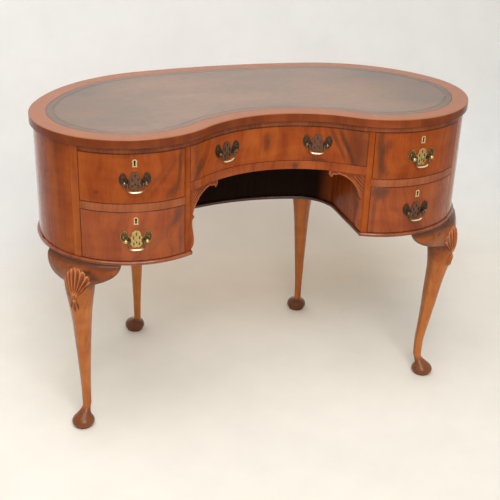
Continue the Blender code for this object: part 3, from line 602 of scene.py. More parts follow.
woods = {
    "crossbandedTop": {
        "colours": edgeWalnut, "segments": 11.0, "segmentTone": (0.85, 1.06), "streak": 0.12, "broad": 0.36,
        "curl": 0.2, "pores": 0.05, "seed": (3.1, 0.7, 0.0), "bump": 0.03, "glossRange": 0.0, "varnish": 0.16,
        "varnishIndex": 1.5, "above": (0.7635, (0.325, 0.108, 0.043))},
    "railVeneer": {
        "colours": railWalnut, "segments": 9.0, "segmentTone": (0.75, 1.1), "streak": 0.25, "broad": 0.6,
        "seed": (1.3, 2.1, 0.0), "pores": 0.15, "edges": (9.0, 0.0132), "grimeAndShade": 0.003},
    "bladeVeneer": {
        "colours": bladeWalnut, "lean": 90.0, "streak": 0.15, "broad": 0.6, "curl": 0.25, "seed": (5.3, 1.1, 0.0),
        "pores": 0.1, "edges": (9.0, 0.019), "grimeAndShade": 0.0016},
    "apronVeneer": {
        "colours": redWalnut, "streak": 0.18, "broad": 0.56, "curl": 0.26, "pores": 0.12, "seed": (2.3, 4.1, 0.0),
        "stains": [(0.062, 0.008, 0.009, 0.01, 0.0, 0.75)]},
    "endVeneer": {
        "colours": orangeWalnut, "waver": 0.04, "streak": 0.1, "broad": 0.5, "curl": 0.28, "pores": 0.07,
        "seed": (0.4, 6.3, 0.0), "varnish": 1.0, "sheen": 0.03},
    "backVeneer": {
        "colours": orangeWalnut, "streak": 0.16, "broad": 0.58, "curl": 0.26, "pores": 0.14,
        "seed": (2.9, 5.3, 0.0)},
    "stileVeneer": {
        "colours": orangeWalnut, "along": "z", "streak": 0.2, "broad": 0.55, "curl": 0.25, "pores": 0.14,
        "seed": (4.4, 2.2, 0.0)},
    "mouldingWood": {
        "colours": railWalnut, "lean": 90.0, "streak": 0.2, "broad": 0.55, "curl": 0.25, "pores": 0.1,
        "seed": (7.7, 0.2, 0.0), "shade": 0.85, "varnish": 0.9, "varnishIndex": 1.5},
    "sideVeneer": {
        "colours": redWalnut, "along": "z", "streak": 0.08, "broad": 0.64, "curl": 0.28, "pores": 0.05,
        "fade": (1, -0.16, 0.05, 0.1, 0.7), "sheen": 0.07, "varnish": 0.04},
    "kneeholeVeneer": {
        "colours": redWalnut, "along": "z", "streak": 0.2, "broad": 0.55, "curl": 0.25, "pores": 0.14,
        "fade": (0, 0.214, 0.182, 0.4, 0.99), "sheen": 0.03, "varnish": 0.0},
    "legWood": {
        "colours": legWalnut, "along": "z", "streak": 0.26, "broad": 0.6, "curl": 0.22, "pores": 0.16,
        "feet": 0.043, "head": (0.345, 0.425, (0.2, 0.038, 0.005), 0.92), "sides": 0.4, "varnish": 0.9,
        "gloss": 0.3},
    "carvedWood": {
        "colours": carvedWalnut, "along": "z", "seed": (0.3, 0.9, 0.2), "carved": (0.7, 0.55), "varnish": 0.3},
    "bracketWood": {
        "colours": redWalnut, "along": "z", "seed": (1.3, 0.9, 0.2), "carved": (0.22, 0.65), "varnish": 0.2},
    "liningWood": {"colours": paleLining, "along": "y", "varnish": 0.0, "gloss": 0.55},
    "darkWood": {"colours": nearBlack, "along": "z", "varnish": 0.0, "sheen": 0.02},
}


leatherLook = {      # a range gives where it starts and ends, and the shares there
    "clouds": (1.0, 5.0, 0.65, (3.6, 8.0, 3.0)), "stops": (0.32, 0.5, 0.68), "gloss": (0.3, 0.42),
    "tones": ((0.158, 0.113, 0.087), (0.225, 0.147, 0.109), (0.29, 0.178, 0.125)),
    "ends": (0.2, 0.5, 1.07, 0.76), "specks": (60.0, 5.0, 0.6), "specked": (0.92, 1.07),
    "edgeRun": 0.0323, "edge": (0.0004, 0.003, 0.62, 0.0), "border": (0.01, 0.026, 0.2, 0.0),
    "waxed": (0.015, 0.0177), "wax": (0.0004, 0.0022, 0.3, 0.0), "grimeAndShade": (0.04, 0.034, 0.026),
    "pebbles": 700.0, "bump": (0.15, 0.0004),
}


def leatherFinish():
    look = leatherLook
    material, shader = newFinish("deskLeather")
    place = surface()
    cloud = speckle(place, *look["clouds"])
    colour = ramp(cloud, list(zip(look["stops"], look["tones"])))
    ends = fade(calc("ABSOLUTE", axisOf(place, 0)), *look["ends"])
    away = calc("SUBTRACT", axisOf(surface("UV"), 1), look["edgeRun"])      # inward from the leather's edge
    # grime and painted shade in the gap along the leather's edge, and a darker band inside it
    grimeAndShade = calc("MAXIMUM", fade(away, *look["edge"]), fade(away, *look["border"]))
    for line in look["waxed"]:      # dark wax in the two tooled lines
        near = calc("ABSOLUTE", calc("SUBTRACT", away, line))
        grimeAndShade = calc("MAXIMUM", grimeAndShade, fade(near, *look["wax"]))
    fine = swing(speckle(place, *look["specks"]), *look["specked"])
    colour = tinted(colour, calc("MULTIPLY", fine, ends))
    colour = blend("MIX", grimeAndShade, colour, look["grimeAndShade"])
    pebble = addNode("TexVoronoi", {"Vector": place, "Scale": look["pebbles"]}, "Distance")
    coat(shader, colour, swing(cloud, *look["gloss"]), (pebble, *look["bump"]))
    return material


brassLook = {"clouds": (420.0, 4.0, 0.6), "mottle": (-0.2, 0.2), "stops": (0.12, 0.42, 0.68, 0.98),
             "gloss": (0.1, 0.9, 0.5, 0.24), "bump": (0.25, 0.0004), "metallic": 0.85}


def brassFinish(name, tones, stops=brassLook["stops"]):      # each spot's wear, painted highlight and painted shade is in the piece's attribute
    material, shader = newFinish(name)
    cloud = speckle(surface(), *brassLook["clouds"])
    wearAndShading = addNode("Attribute", output="Fac", attribute_name="wearAndShading")
    shade = calc("ADD", wearAndShading, swing(cloud, *brassLook["mottle"]))
    coat(shader, ramp(shade, list(zip(stops, tones))), spread(shade, *brassLook["gloss"]),
         (cloud, *brassLook["bump"]), {"Metallic": brassLook["metallic"]})
    return material


def mottledFinish(name, speckles, stops, roughness, metallic):
    material, shader = newFinish(name)
    cloud = speckle(surface(), *speckles)
    coat(shader, ramp(cloud, stops), swing(cloud, *roughness), values={"Metallic": metallic})
    return material


finishes = {name: woodFinish(name, look) for name, look in woods.items()}
finishes["leather"] = leatherFinish()
finishes["goldBrass"] = brassFinish("goldBrass", ((0.03, 0.022, 0.014), (0.13, 0.085, 0.035), (0.44, 0.3, 0.1),
                                                  (0.82, 0.66, 0.36)))
finishes["darkBrass"] = brassFinish("darkBrass", ((0.03, 0.024, 0.019), (0.068, 0.045, 0.03), (0.19, 0.095, 0.056),
                                                  (0.62, 0.52, 0.36)), (0.12, 0.45, 0.86, 1.0))
finishes["bailBrass"] = brassFinish("bailBrass", ((0.05, 0.036, 0.02), (0.12, 0.08, 0.04), (0.42, 0.31, 0.15),
                                                  (0.9, 0.76, 0.5)))
finishes["bone"] = mottledFinish("boneInlay", (220.0, 3.0, 0.5), [(0.3, (0.42, 0.27, 0.12)),
                                                                 (0.6, (0.62, 0.44, 0.23))], (0.34, 0.5), 0.0)
finishes["steel"] = mottledFinish("lockSteel", (90.0, 4.0, 0.6), [(0.3, (0.16, 0.15, 0.14)),
                                                                 (0.7, (0.42, 0.41, 0.39))], (0.6, 0.36), 1.0)
print("finishes are mixed")

# Top and leather
topBoard = {"border": 0.0387, "recess": 0.0015, "leather": 0.0011, "roundOver": 0.0016, "inner": 0.07,
            "lowBevel": 0.0006, "lipBevel": 0.0003, "flat": 0.0009, "edge": 0.0004, "tooled": (0.0145, 0.0172),
            "groove": ((-0.0004, 0.0), (0.0, 0.0), (0.0005, 0.0004), (0.001, 0.0), (0.0014, 0.0))}


def makeTop():
    top, low, radius = levels["top"], levels["underside"], topBoard["roundOver"]
    border, inner, flat = topBoard["border"], topBoard["inner"], topBoard["flat"]
    floor, bevel, lip = top - topBoard["recess"], topBoard["lowBevel"], topBoard["lipBevel"]
    section = [(inner, low), (bevel, low), (0.0, low + bevel)]
    section += [(radius + radius * cos(angle), top - radius + radius * sin(angle))
                for angle in (radians(180 - 22.5 * k) for k in range(5))]
    section += [(radius + flat, top), (border - flat, top), (border - lip, top), (border, top - lip),
                (border, floor), (inner, floor)]
    sweptRing("topBoard", "top_board", section, finishes["crossbandedTop"])
    base, edge = floor + clear["gap"], border + clear["gap"]
    crest, rim = base + topBoard["leather"], edge + topBoard["edge"]
    section = [(inner, base), (edge, base), (edge, crest - topBoard["edge"]), (rim, crest), (rim + flat, crest)]
    for line in topBoard["tooled"]:      # two blind tooled lines inside the edge
        section += [(edge + line + across, crest - deep) for across, deep in topBoard["groove"]]
    sweptRing("leatherPanel", "leather_panel", section + [(inner, crest)], finishes["leather"])


makeTop()
print("top and leather are made")


# Carcass
def makeCarcass():
    low, high = levels["baseTop"] + clear["gap"], levels["underside"] - clear["gap"]
    gap, wall, railBack = clear["gap"], plan["wall"], plan["railBack"]
    stileStart = frontRun(plan["drawerOuter"]) - plan["stileWidth"]
    endRuns = {"right": (shoulderRun + gap, stileStart - gap),
               "left": (wholeRun - stileStart + gap, wholeRun - shoulderRun - gap)}
    for side, ends in endRuns.items():
        sweptPiece(side + "EndPanel", side + "_end_panel", band(wall, plan["wallBack"], low, high), ends,
                   finishes["endVeneer"], flatEnds=False)
    sweptPiece("topRail", "top_rail", band(wall, railBack, levels["railBottom"], high),
               (stileStart, wholeRun - stileStart), finishes["railVeneer"], flatEnds=False)
    for side, sign in sides:
        ends = sorted((sign * (plan["sideOuter"] + gap), sign * (plan["drawerOuter"] - gap)), reverse=True)
        sweptPiece(side + "DrawerBlade", side + "_drawer_blade",
                   band(wall, railBack, levels["bladeBottom"], levels["bladeTop"]), ends, finishes["bladeVeneer"])
    reach = plan["sideInner"] - gap
    sweptPiece("apronRail", "apron_rail", band(wall, railBack, levels["apronBottom"], levels["centreBottom"]),
               (reach, -reach), finishes["apronVeneer"])


makeCarcass()

# Drawer fronts
drawerEnds = {"left": (-plan["sideOuter"], -plan["drawerOuter"]), "right": (plan["drawerOuter"], plan["sideOuter"]),
              "centre": (plan["sideInner"], -plan["sideInner"])}
drawerRows = {"upper": ("bladeTop", "railBottom"), "lower": ("baseTop", "bladeBottom"),
              "drawer": ("centreBottom", "railBottom")}
frontLook = {
    "colours": redWalnut, "broad": 0.54, "streak": 0.18, "curl": 0.28, "stops": (0.27, 0.41, 0.54, 0.7),
    "pores": 0.14, "waver": 0.07, "sheen": 0.08, "varnish": 0.45,
}
# dark patches: across and up from the middle of the foot, half width, half height, tilt, strength, own tone
drawerLooks = {
    "left_upper_drawer": {"lean": -32.0, "stains": [
        (0.112, 0.072, 0.007, 0.05, -4.0, 0.72), (0.094, 0.02, 0.026, 0.013, 40.0, 0.55),
        (0.078, 0.06, 0.007, 0.07, -40.0, 0.34), (0.052, 0.05, 0.006, 0.07, -42.0, 0.24),
        (-0.083, 0.024, 0.006, 0.005, 0.0, 0.6)]},
    "left_lower_drawer": {"lean": -38.0, "varnish": 1.0, "varnishIndex": 1.34, "stains": [
        (0.106, 0.098, 0.015, 0.026, -20.0, 0.66), (0.112, 0.035, 0.006, 0.045, 0.0, 0.45),
        (0.074, 0.06, 0.007, 0.07, -44.0, 0.28), (0.046, 0.046, 0.006, 0.07, -46.0, 0.18)]},
    "right_upper_drawer": {"lean": 30.0, "stains": [
        (-0.108, 0.062, 0.011, 0.075, 3.0, 0.72), (-0.094, 0.078, 0.012, 0.024, -25.0, 0.45),
        (-0.097, 0.024, 0.012, 0.022, 30.0, 0.5)]},
    "right_lower_drawer": {"lean": 36.0, "varnish": 1.0, "varnishIndex": 1.3, "stains": [
        (-0.1, 0.102, 0.026, 0.02, 15.0, 0.74), (-0.113, 0.045, 0.006, 0.06, 0.0, 0.5),
        (-0.02, 0.03, 0.07, 0.008, -35.0, 0.22)]},
    "centre_drawer": {"lean": 34.0, "stains": [
        (-0.198, 0.022, 0.013, 0.034, -24.0, 0.78), (-0.206, 0.06, 0.01, 0.03, 0.0, 0.45),
        (-0.176, 0.045, 0.008, 0.034, -18.0, 0.3), (-0.006, 0.048, 0.011, 0.026, 0.0, 0.6),
        (0.214, 0.042, 0.046, 0.075, 8.0, 0.56, (0.075, 0.026, 0.014)), (0.178, 0.042, 0.0065, 0.058, 26.0, 0.8),
        (0.156, 0.048, 0.006, 0.052, 27.0, 0.6), (0.112, 0.004, 0.03, 0.006, -3.0, 0.6)]},
}


def makeDrawerFronts():
    for k, (name, own) in enumerate(drawerLooks.items()):
        side, row = name.split("_")[:2]
        right, left = drawerEnds[side][0] - clear["reveal"], drawerEnds[side][1] + clear["reveal"]
        low, high = (levels[edge] for edge in drawerRows[row])
        low, high = low + clear["reveal"], high - clear["reveal"]
        size = (abs(frontRun(left) - frontRun(right)), high - low)
        finish = woodFinish(name + "_veneer", {**frontLook, "seed": (k * 1.7, k * 0.9, 0.0), "edges": size, **own})
        sweptPiece(name + "_face", name + "_front", band(plan["wall"], plan["frontBack"], low, high), (right, left),
                   finish, name)


makeDrawerFronts()
print("carcass and drawer fronts are made")


# Legs
def smoothThrough(points, steps):      # points of a smooth line through the given ones
    line = []
    for k in range(len(points) - 1):
        a, b, c, d = (points[min(max(k + off, 0), len(points) - 1)] for off in (-1, 0, 1, 2))
        for i in range(steps):
            t = i / steps
            line.append(tuple(0.5 * (2 * q + (r - p) * t + (2 * p - 5 * q + 4 * r - s) * t * t
                                     + (3 * q - p - 3 * r + s) * t ** 3) for p, q, r, s in zip(a, b, c, d)))
    return line + [tuple(points[-1])]


def easeBetween(low, high, value):
    t = min(max((value - low) / (high - low), 0.0), 1.0)
    return t * t * (3 - 2 * t)


legs = {
    "height": 0.4717, "footHeight": 0.036, "footRadius": 0.0282, "padHeight": 0.0046, "padShare": 0.78,
    "padOverlap": 0.001, "cornerShare": 0.8, "squareness": 0.5, "squareFrom": (0.2, 0.45), "squareTo": (0.72, 0.85),
    "earHeight": 0.06, "earThickness": 0.03, "earSwell": 0.013, "earSeat": 0.0028, "voxel": 0.0014, "easing": 26,
    # height, lean from ankle to knee and half thickness, as shares, from the head down
    "shank": [(1.02, 1.0, 0.34), (1.0, 1.0, 0.42), (0.985, 1.0, 0.58), (0.967, 1.0, 0.75), (0.945, 1.0, 0.88),
              (0.92, 1.0, 0.97), (0.87, 1.0, 1.03), (0.83, 1.0, 0.98), (0.785, 1.0, 0.885), (0.72, 0.93, 0.76),
              (0.635, 0.76, 0.655), (0.55, 0.61, 0.585), (0.465, 0.48, 0.515), (0.38, 0.33, 0.45),
              (0.295, 0.165, 0.4), (0.21, 0.02, 0.355), (0.15, 0.0, 0.335), (0.11, 0.0, 0.325)],
    # height, shift from ankle to foot and radius, as shares of the foot, in front and behind
    "frontFoot": [(1.28, 0.08, 0.36), (1.1, 0.3, 0.42), (0.94, 0.58, 0.52), (0.79, 0.82, 0.65), (0.65, 0.96, 0.8),
                  (0.52, 1.0, 0.92), (0.4, 1.0, 0.99), (0.29, 1.0, 1.0), (0.2, 1.0, 0.94), (0.15, 1.0, 0.87),
                  (0.125, 1.0, 0.79)],
    "backFoot": [(1.16, 0.08, 0.38), (1.04, 0.35, 0.46), (0.92, 0.65, 0.6), (0.8, 0.88, 0.75), (0.67, 1.0, 0.88),
                 (0.53, 1.0, 0.96), (0.4, 1.0, 0.985), (0.29, 1.0, 0.975), (0.2, 1.0, 0.93), (0.15, 1.0, 0.86),
                 (0.125, 1.0, 0.79)],
    # place from the outer to the inner tip, height, swell and thickness, as shares of the ear
    "ear": [(-1.0, 0.06, 0.1, 0.3), (-0.96, 0.42, 0.55, 0.55), (-0.86, 0.7, 0.75, 0.8), (-0.66, 0.87, 0.85, 1.0),
            (-0.33, 0.97, 1.15, 1.0), (0.0, 1.0, 1.5, 1.0), (0.2, 1.0, 1.3, 1.0), (0.35, 0.92, 1.05, 1.0),
            (0.49, 0.81, 0.9, 0.95), (0.6, 0.73, 0.82, 0.9), (0.71, 0.63, 0.72, 0.8), (0.81, 0.52, 0.6, 0.7),
            (0.9, 0.38, 0.45, 0.55), (0.965, 0.21, 0.25, 0.4), (1.0, 0.05, 0.05, 0.3)],
    # depth behind the moulding, swell in front of it and drop, as shares of the ear's section
    "earSection": [(1.0, 0.0, -0.3), (1.0, 0.0, 0.55), (0.7, 0.0, 0.96), (0.0, 0.5, 1.0), (0.0, 0.97, 0.72),
                   (0.0, 0.98, 0.42), (0.0, 0.7, 0.14), (0.0, 0.0, 0.0), (0.0, 0.0, -0.3)],
}
foremost = endRun + plan["endRadius"] * (arcs[2]["first"] + pi / 2)
legKinds = {      # at: run and inset of the foot, the ankle and the knee
    "Front": {"kneeRadius": 0.034, "carved": True,
              "at": ((foremost - 0.2007, 0.0287), (foremost - 0.2033, 0.0461), (foremost - 0.1749, 0.0149))},
    "Back": {"kneeRadius": 0.0302, "carved": False,
             "at": ((shoulderRun + 0.019, 0.0022), (shoulderRun + 0.0181, 0.0215), (shoulderRun + 0.0154, 0.0202))},
}
earReach = {"leftFront": (0.091, 0.111), "rightFront": (0.091, 0.15), "leftBack": (0.095, 0.095),
            "rightBack": (0.095, 0.095)}
legSet = [{"name": side + kind + "Leg", "node": f"{side}_{kind.lower()}_leg", "sign": sign,
           "reach": earReach[side + kind], **shape}
          for kind, shape in legKinds.items() for side, sign in reversed(sides)]


def bridgeRings(mesh, rings):      # skins rings of points one to the next, and closes both ends
    loops = [chainOf(mesh, [mesh.verts.new(point) for point in ring]) for ring in rings]
    for one, other in zip(loops, loops[1:]):
        bmesh.ops.bridge_loops(mesh, edges=one + other)
    bmesh.ops.holes_fill(mesh, edges=loops[0] + loops[-1], sides=0)


def shankRing(leg, level, lean, radius, squareness):
    foot, ankle, knee = leg["bones"]
    middle = ankle.lerp(knee, lean) if lean >= 0 else ankle.lerp(foot, -lean)
    facing = atan2(leg["face"].y, leg["face"].x)
    ring = []
    for k in range(32):
        turn = 2 * pi * k / 32
        corner = (abs(cos(turn)) ** squareness + abs(sin(turn)) ** squareness) ** (-1 / squareness)
        corner = 1 + (corner - 1) * legs["cornerShare"]
        angle = facing + turn + pi / 4
        ring.append((middle.x + cos(angle) * radius * corner,
                     middle.y + sin(angle) * radius * corner, level))
    return ring


def meltTogether(mesh):      # one skin round several closed bodies, with its inner corners eased
    holder = addObject("melt", toData(mesh, "melt"))
    skin = holder.modifiers.new("skin", "REMESH")
    skin.mode, skin.voxel_size = "VOXEL", legs["voxel"]
    ease = holder.modifiers.new("ease", "SMOOTH")
    ease.factor, ease.iterations = 0.5, legs["easing"]
    bpy.context.view_layer.update()
    seen = holder.evaluated_get(bpy.context.evaluated_depsgraph_get())
    melted = bmesh.new()
    melted.from_mesh(seen.to_mesh())
    seen.to_mesh_clear()
    bpy.data.objects.remove(holder, do_unlink=True)
    return melted


def makeLeg(leg):
    mesh = bmesh.new()
    leg["bones"] = [planPoint(*place) for place in leg["at"]]
    foot, kneeRun = leg["bones"][0], leg["at"][2][0]
    leg["face"] = (planPoint(kneeRun, 0.0) - planPoint(kneeRun, 0.05)).normalized()
    rings = []
    for up, lean, share in smoothThrough(legs["shank"], 4):
        square = easeBetween(*legs["squareFrom"], up) * (1 - easeBetween(*legs["squareTo"], up))
        squareness = 2.0 + legs["squareness"] * square
        rings.append(shankRing(leg, legs["height"] * up, max(lean, 0.0), leg["kneeRadius"] * share, squareness))
    for up, shift, share in smoothThrough(legs["frontFoot" if leg["carved"] else "backFoot"], 3):
        rings.append(shankRing(leg, legs["footHeight"] * up, -min(shift, 1.0), legs["footRadius"] * share, 2.0))
    bridgeRings(mesh, rings)
    rings = []
    for along, up, out, deep in smoothThrough(legs["ear"], 3):
        reach = leg["reach"][0] if along < 0 else leg["reach"][1]
        rings.append([])
        for back, swell, down in smoothThrough(legs["earSection"], 3):
            inset = legs["earSeat"] + legs["earThickness"] * deep * back - legs["earSwell"] * out * swell
            drop = legs["earHeight"] * (up * down if down > 0 else down)
            rings[-1].append((*planPoint(kneeRun + reach * along, inset), legs["height"] - drop))
    bridgeRings(mesh, rings)
    bmesh.ops.recalc_face_normals(mesh, faces=mesh.faces)
    mesh = meltTogether(mesh)
    cutAcross(mesh, (0.0, 0.0, legs["height"]), (0.0, 0.0, 1.0), clear_outer=True)
    closeHoles(mesh)
    padRadius = legs["footRadius"] * legs["padShare"]
    pad = bmesh.ops.create_circle(mesh, cap_ends=True, segments=40, radius=padRadius)["verts"]
    bmesh.ops.translate(mesh, verts=pad, vec=(*foot, 0.0))
    disc = list({face for vert in pad for face in vert.link_faces})
    raiseFaces(mesh, disc, (0.0, 0.0, legs["padHeight"] + legs["padOverlap"]))
    bmesh.ops.recalc_face_normals(mesh, faces=mesh.faces)
    if leg["sign"] < 0:
        bmesh.ops.scale(mesh, verts=mesh.verts, vec=(-1.0, 1.0, 1.0))
        bmesh.ops.reverse_faces(mesh, faces=mesh.faces)
    return finishPiece(mesh, leg["name"], "carcass", finishes["legWood"], [leg["node"]], smooth=50.0)


for leg in legSet:
    leg["piece"] = makeLeg(leg)
print("legs are made")

# Carved fans: a scallop shell on each front knee, and the husk that hangs below it
carving = {"castFrom": 0.08, "sunkRim": 0.0012, "backing": 0.006, "raySpread": (0.8, 0.2), "rimTop": 0.9,
           "rimSide": 0.95, "rimFoot": 0.05, "fluteSharp": 1.2, "fluteStart": (0.02, 0.3), "fluteEnd": (0.7, 0.95),
           "endLoss": 0.6, "deepening": (0.35, 0.65), "crest": 0.35, "rimDark": 0.85, "rimDarkFrom": 0.55}
fans = {
    "Shell": {"from": 0.3835, "reach": 0.0805, "rays": 41.0, "fall": 0.4, "ribs": 8, "shift": 0.0075, "start": 0.1,
              "lean": 6.0, "lift": 0.0031, "depth": 0.0041, "cells": (160, 56), "scallop": 0.075, "down": False},
    "Husk": {"from": 0.388, "reach": 0.0425, "rays": 30.0, "fall": 0.36, "ribs": 3, "shift": 0.0072, "start": 0.16,
             "lean": 0.0, "lift": 0.0031, "depth": 0.0042, "cells": (60, 36), "scallop": 0.14, "down": True},
}


def makeFan(leg, kind):
    fan = fans[kind]
    tree = BVHTree.FromObject(leg["piece"], bpy.context.evaluated_depsgraph_get())
    across, up = fan["cells"]
    mesh = bmesh.new()
    bmesh.ops.create_grid(mesh, x_segments=across, y_segments=up, size=1.0)
    sign, radius = leg["sign"], leg["kneeRadius"]
    ankle, knee = leg["bones"][1:]
    facing = atan2(leg["face"].y, leg["face"].x)
    hollow = mesh.verts.layers.float.new("hollow")
    for vert in mesh.verts:      # the square grid becomes rays that leave the foot of the fan
        side, rise = vert.co.x, (vert.co.y + 1) / 2
        flute = abs(sin(pi * (side + 1) / 2 * fan["ribs"]))      # 0 on a ridge, 1 in the middle of a flute
        far = fan["reach"] * (1 - fan["fall"] * side * side) * (fan["start"] + (1 - fan["start"]) * rise)
        far *= 1 - fan["scallop"] * (1 - flute) ** 2 * rise
        least, more = carving["raySpread"]
        angle = radians(fan["rays"] * side * (least + more * sin(pi * rise)) + fan["lean"])
        level = fan["from"] + far * cos(angle) * (-1 if fan["down"] else 1)
        offset = far * sin(angle) + fan["shift"]
        rim = max(easeBetween(carving["rimTop"], 1.0, rise), easeBetween(carving["rimSide"], 1.0, abs(side)),
                  1 - easeBetween(0.0, carving["rimFoot"], rise))
        groove = flute ** carving["fluteSharp"] * (1 - carving["endLoss"] * easeBetween(*carving["fluteEnd"], rise))
        groove *= easeBetween(*carving["fluteStart"], rise)
        least, more = carving["deepening"]
        relief = fan["lift"] + fan["depth"] * (least + more * rise) * (carving["crest"] - groove)
        relief = relief * (1 - rim) - carving["sunkRim"] * rim
        # dark polish and painted shade in the flutes and the sunk rim
        vert[hollow] = groove * (1 - rim) + carving["rimDark"] * easeBetween(carving["rimDarkFrom"], 1.0, rim)
        middle = ankle.lerp(knee, shankLean(level))
        angle = facing - offset / radius
        outward = Vector((cos(angle), sin(angle), 0.0))
        start = Vector((middle.x, middle.y, level)) + outward * carving["castFrom"]
        start.x *= sign
        toward = Vector((-outward.x * sign, -outward.y, 0.0))
        place, normal = tree.ray_cast(start, toward)[:2]
        vert.co = place + normal * relief
    closeFan(mesh)
    finishPiece(mesh, leg["name"] + kind, "carcass", finishes["carvedWood"], (), smooth=60.0)


def shankLean(level):
    share = level / legs["height"]
    line = sorted(row[:2] for row in legs["shank"])
    for (lowUp, lowLean), (highUp, highLean) in zip(line, line[1:]):
        if lowUp <= share <= highUp:
            return max(0.0, lowLean + (highLean - lowLean) * (share - lowUp) / (highUp - lowUp))
    return line[-1][1]


def closeFan(mesh):      # gives the carved sheet a back inside the knee
    mesh.normal_update()
    if sum(face.normal.y for face in mesh.faces) > 0:
        bmesh.ops.reverse_faces(mesh, faces=mesh.faces)
    inward = -sum((face.normal for face in mesh.faces), Vector()).normalized()
    pullEdges(mesh, [edge for edge in mesh.edges if edge.is_boundary], inward * carving["backing"])
    closeHoles(mesh)
    closeOutward(mesh)


for leg in legSet:
    if leg["carved"]:
        for kind in fans:
            makeFan(leg, kind)
print("knees are carved")


def prismOf(outline, low, high):      # a flat outline raised to a solid
    mesh = bmesh.new()
    face = mesh.faces.new([mesh.verts.new((*place, low)) for place in outline])
    raiseFaces(mesh, [face], (0.0, 0.0, high - low))
    closeOutward(mesh)
    return mesh


# Kneehole: the line of its wall, and the moulding round the base board
kneehole = {"corner": 0.093, "bow": 0.536, "backY": 0.0295, "thickness": 0.012, "edge": 0.002,
            "stileDepth": 0.036}


def kneeholeLine(grow):
    corner, bow = kneehole["corner"] - grow, kneehole["bow"] - grow
    bowCentre = Vector((0.0, midY + kneehole["backY"] - kneehole["bow"]))
    cornerCentre = Vector((plan["sideInner"] - kneehole["corner"], 0.0))
    cornerCentre.y = bowCentre.y + sqrt((bow - corner) ** 2 - cornerCentre.x ** 2)
    turn = atan2(cornerCentre.y - bowCentre.y, cornerCentre.x - bowCentre.x)
    right = []
    for k in range(24):
        angle = pi / 2 + (turn - pi / 2) * k / 24
        right.append(bowCentre + heading(angle) * bow)
    for k in range(21):
        angle = turn * (1 - k / 20)
        right.append(cornerCentre + heading(angle) * corner)
    return [Vector((-place.x, place.y)) for place in right[:0:-1]] + right


def baseLine(grow):      # edge of the base: the plan's line, with the kneehole cut out of its front
    inset = plan["wall"] - grow
    cornerX = plan["sideInner"] - grow
    last = frontRun(plan["sideInner"])
    steps = ceil(last / plan["step"])
    outer = [planPoint(last * k / steps, inset) for k in range(steps)] + [Vector((cornerX, frontY(cornerX, inset)))]
    mirrored = [Vector((-place.x, place.y)) for place in outer[:0:-1]]
    return outer + kneeholeLine(grow)[::-1] + mirrored


moulding = {      # growth outward from the wall and height over its foot: a bead over a small flat
    "flat": [(0.0004, 0.0), (0.0046, 0.0), (0.005, 0.0004), (0.005, 0.0022), (0.0044, 0.0027)],
    "bead": {"at": (0.0038, 0.0051), "size": (0.0023, 0.0025), "from": -62, "step": 19}, "top": (0.0028, 0.0004),
    "middle": 0.003,
}


def makeBaseMoulding():
    low, high = levels["carcassBottom"], levels["baseTop"]
    bead = moulding["bead"]
    (out, up), (wide, tall) = bead["at"], bead["size"]
    section = [(grow, low + rise) for grow, rise in moulding["flat"]]
    section += [(out + wide * cos(angle), low + up + tall * sin(angle))
                for angle in (radians(bead["from"] + bead["step"] * k) for k in range(9))]
    section += [(grow, high) for grow in moulding["top"]]
    mesh = bmesh.new()
    runLayer = mesh.verts.layers.float.new("run")
    sideLayer = mesh.verts.layers.float.new("side")
    middleLine = baseLine(moulding["middle"])
    runs = [0.0]
    for one, other in zip(middleLine, middleLine[1:]):
        runs.append(runs[-1] + (other - one).length)
    loops, passed = [], 0.0
    for k, (grow, height) in enumerate(section):
        verts = [mesh.verts.new((*place, height)) for place in baseLine(grow)]
        if k:
            passed += dist(section[k - 1], (grow, height))
        for vert, run in zip(verts, runs):
            vert[runLayer], vert[sideLayer] = run, passed
        loops.append(chainOf(mesh, verts))
    for one, other in zip(loops, loops[1:] + loops[:1]):
        bmesh.ops.bridge_loops(mesh, edges=one + other)
    closeOutward(mesh)
    mapRuns(mesh, runs[-1] / 2)
    finishPiece(mesh, "baseMoulding", "carcass", finishes["mouldingWood"], ["base_moulding"], smooth=35.0)


def makeBackOfCarcass():
    low, high = levels["baseTop"] + clear["gap"], levels["underside"] - clear["gap"]
    sweptPiece("backPanel", "back_panel", band(plan["wall"], plan["wallBack"], low, high),
               (-shoulderRun, shoulderRun), finishes["backVeneer"], flatEnds=False)
    start = frontRun(plan["drawerOuter"]) - plan["stileWidth"]
    joint = planPoint(start, plan["wallBack"])
    rear = frontY(plan["drawerOuter"]) + kneehole["stileDepth"]
    outline = [planPoint(start + plan["stileWidth"] * k / 6, plan["wall"]) for k in range(7)]
    outline += [Vector((plan["drawerOuter"], rear)), Vector((joint.x, rear)), joint]
    for side, sign in sides:
        mesh = prismOf([(sign * place.x, place.y) for place in outline], low, high)
        finishPiece(mesh, side + "OuterStile", "carcass", finishes["stileVeneer"], [side + "_outer_stile"],
                    bevel=softEdge)
    reach = plan["sideInner"] - clear["gap"]
    face = [place for place in kneeholeLine(0.0) if abs(place.x) < reach - kneehole["edge"]]
    rear = midY + kneehole["backY"] + kneehole["thickness"]
    outline = face + [(reach, face[-1].y), (reach, rear), (-reach, rear), (-reach, face[0].y)]
    mesh = prismOf(outline, low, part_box("kneehole_back")[1].z)
    finishPiece(mesh, "kneeholeBack", "carcass", finishes["kneeholeVeneer"], ["kneehole_back"])


makeBaseMoulding()
makeBackOfCarcass()
print("base, back and stiles are made")


def fillShape(loops):      # flat shape with holes, in the plane of a front
    mesh = bmesh.new()
    edges = []
    for loop in loops:
        edges += chainOf(mesh, [mesh.verts.new((x, 0.0, z)) for x, z in loop])
    bmesh.ops.triangle_fill(mesh, edges=edges, use_beauty=True)
    mesh.normal_update()
    bmesh.ops.reverse_faces(mesh, faces=[face for face in mesh.faces if face.normal.y > 0])
    return mesh


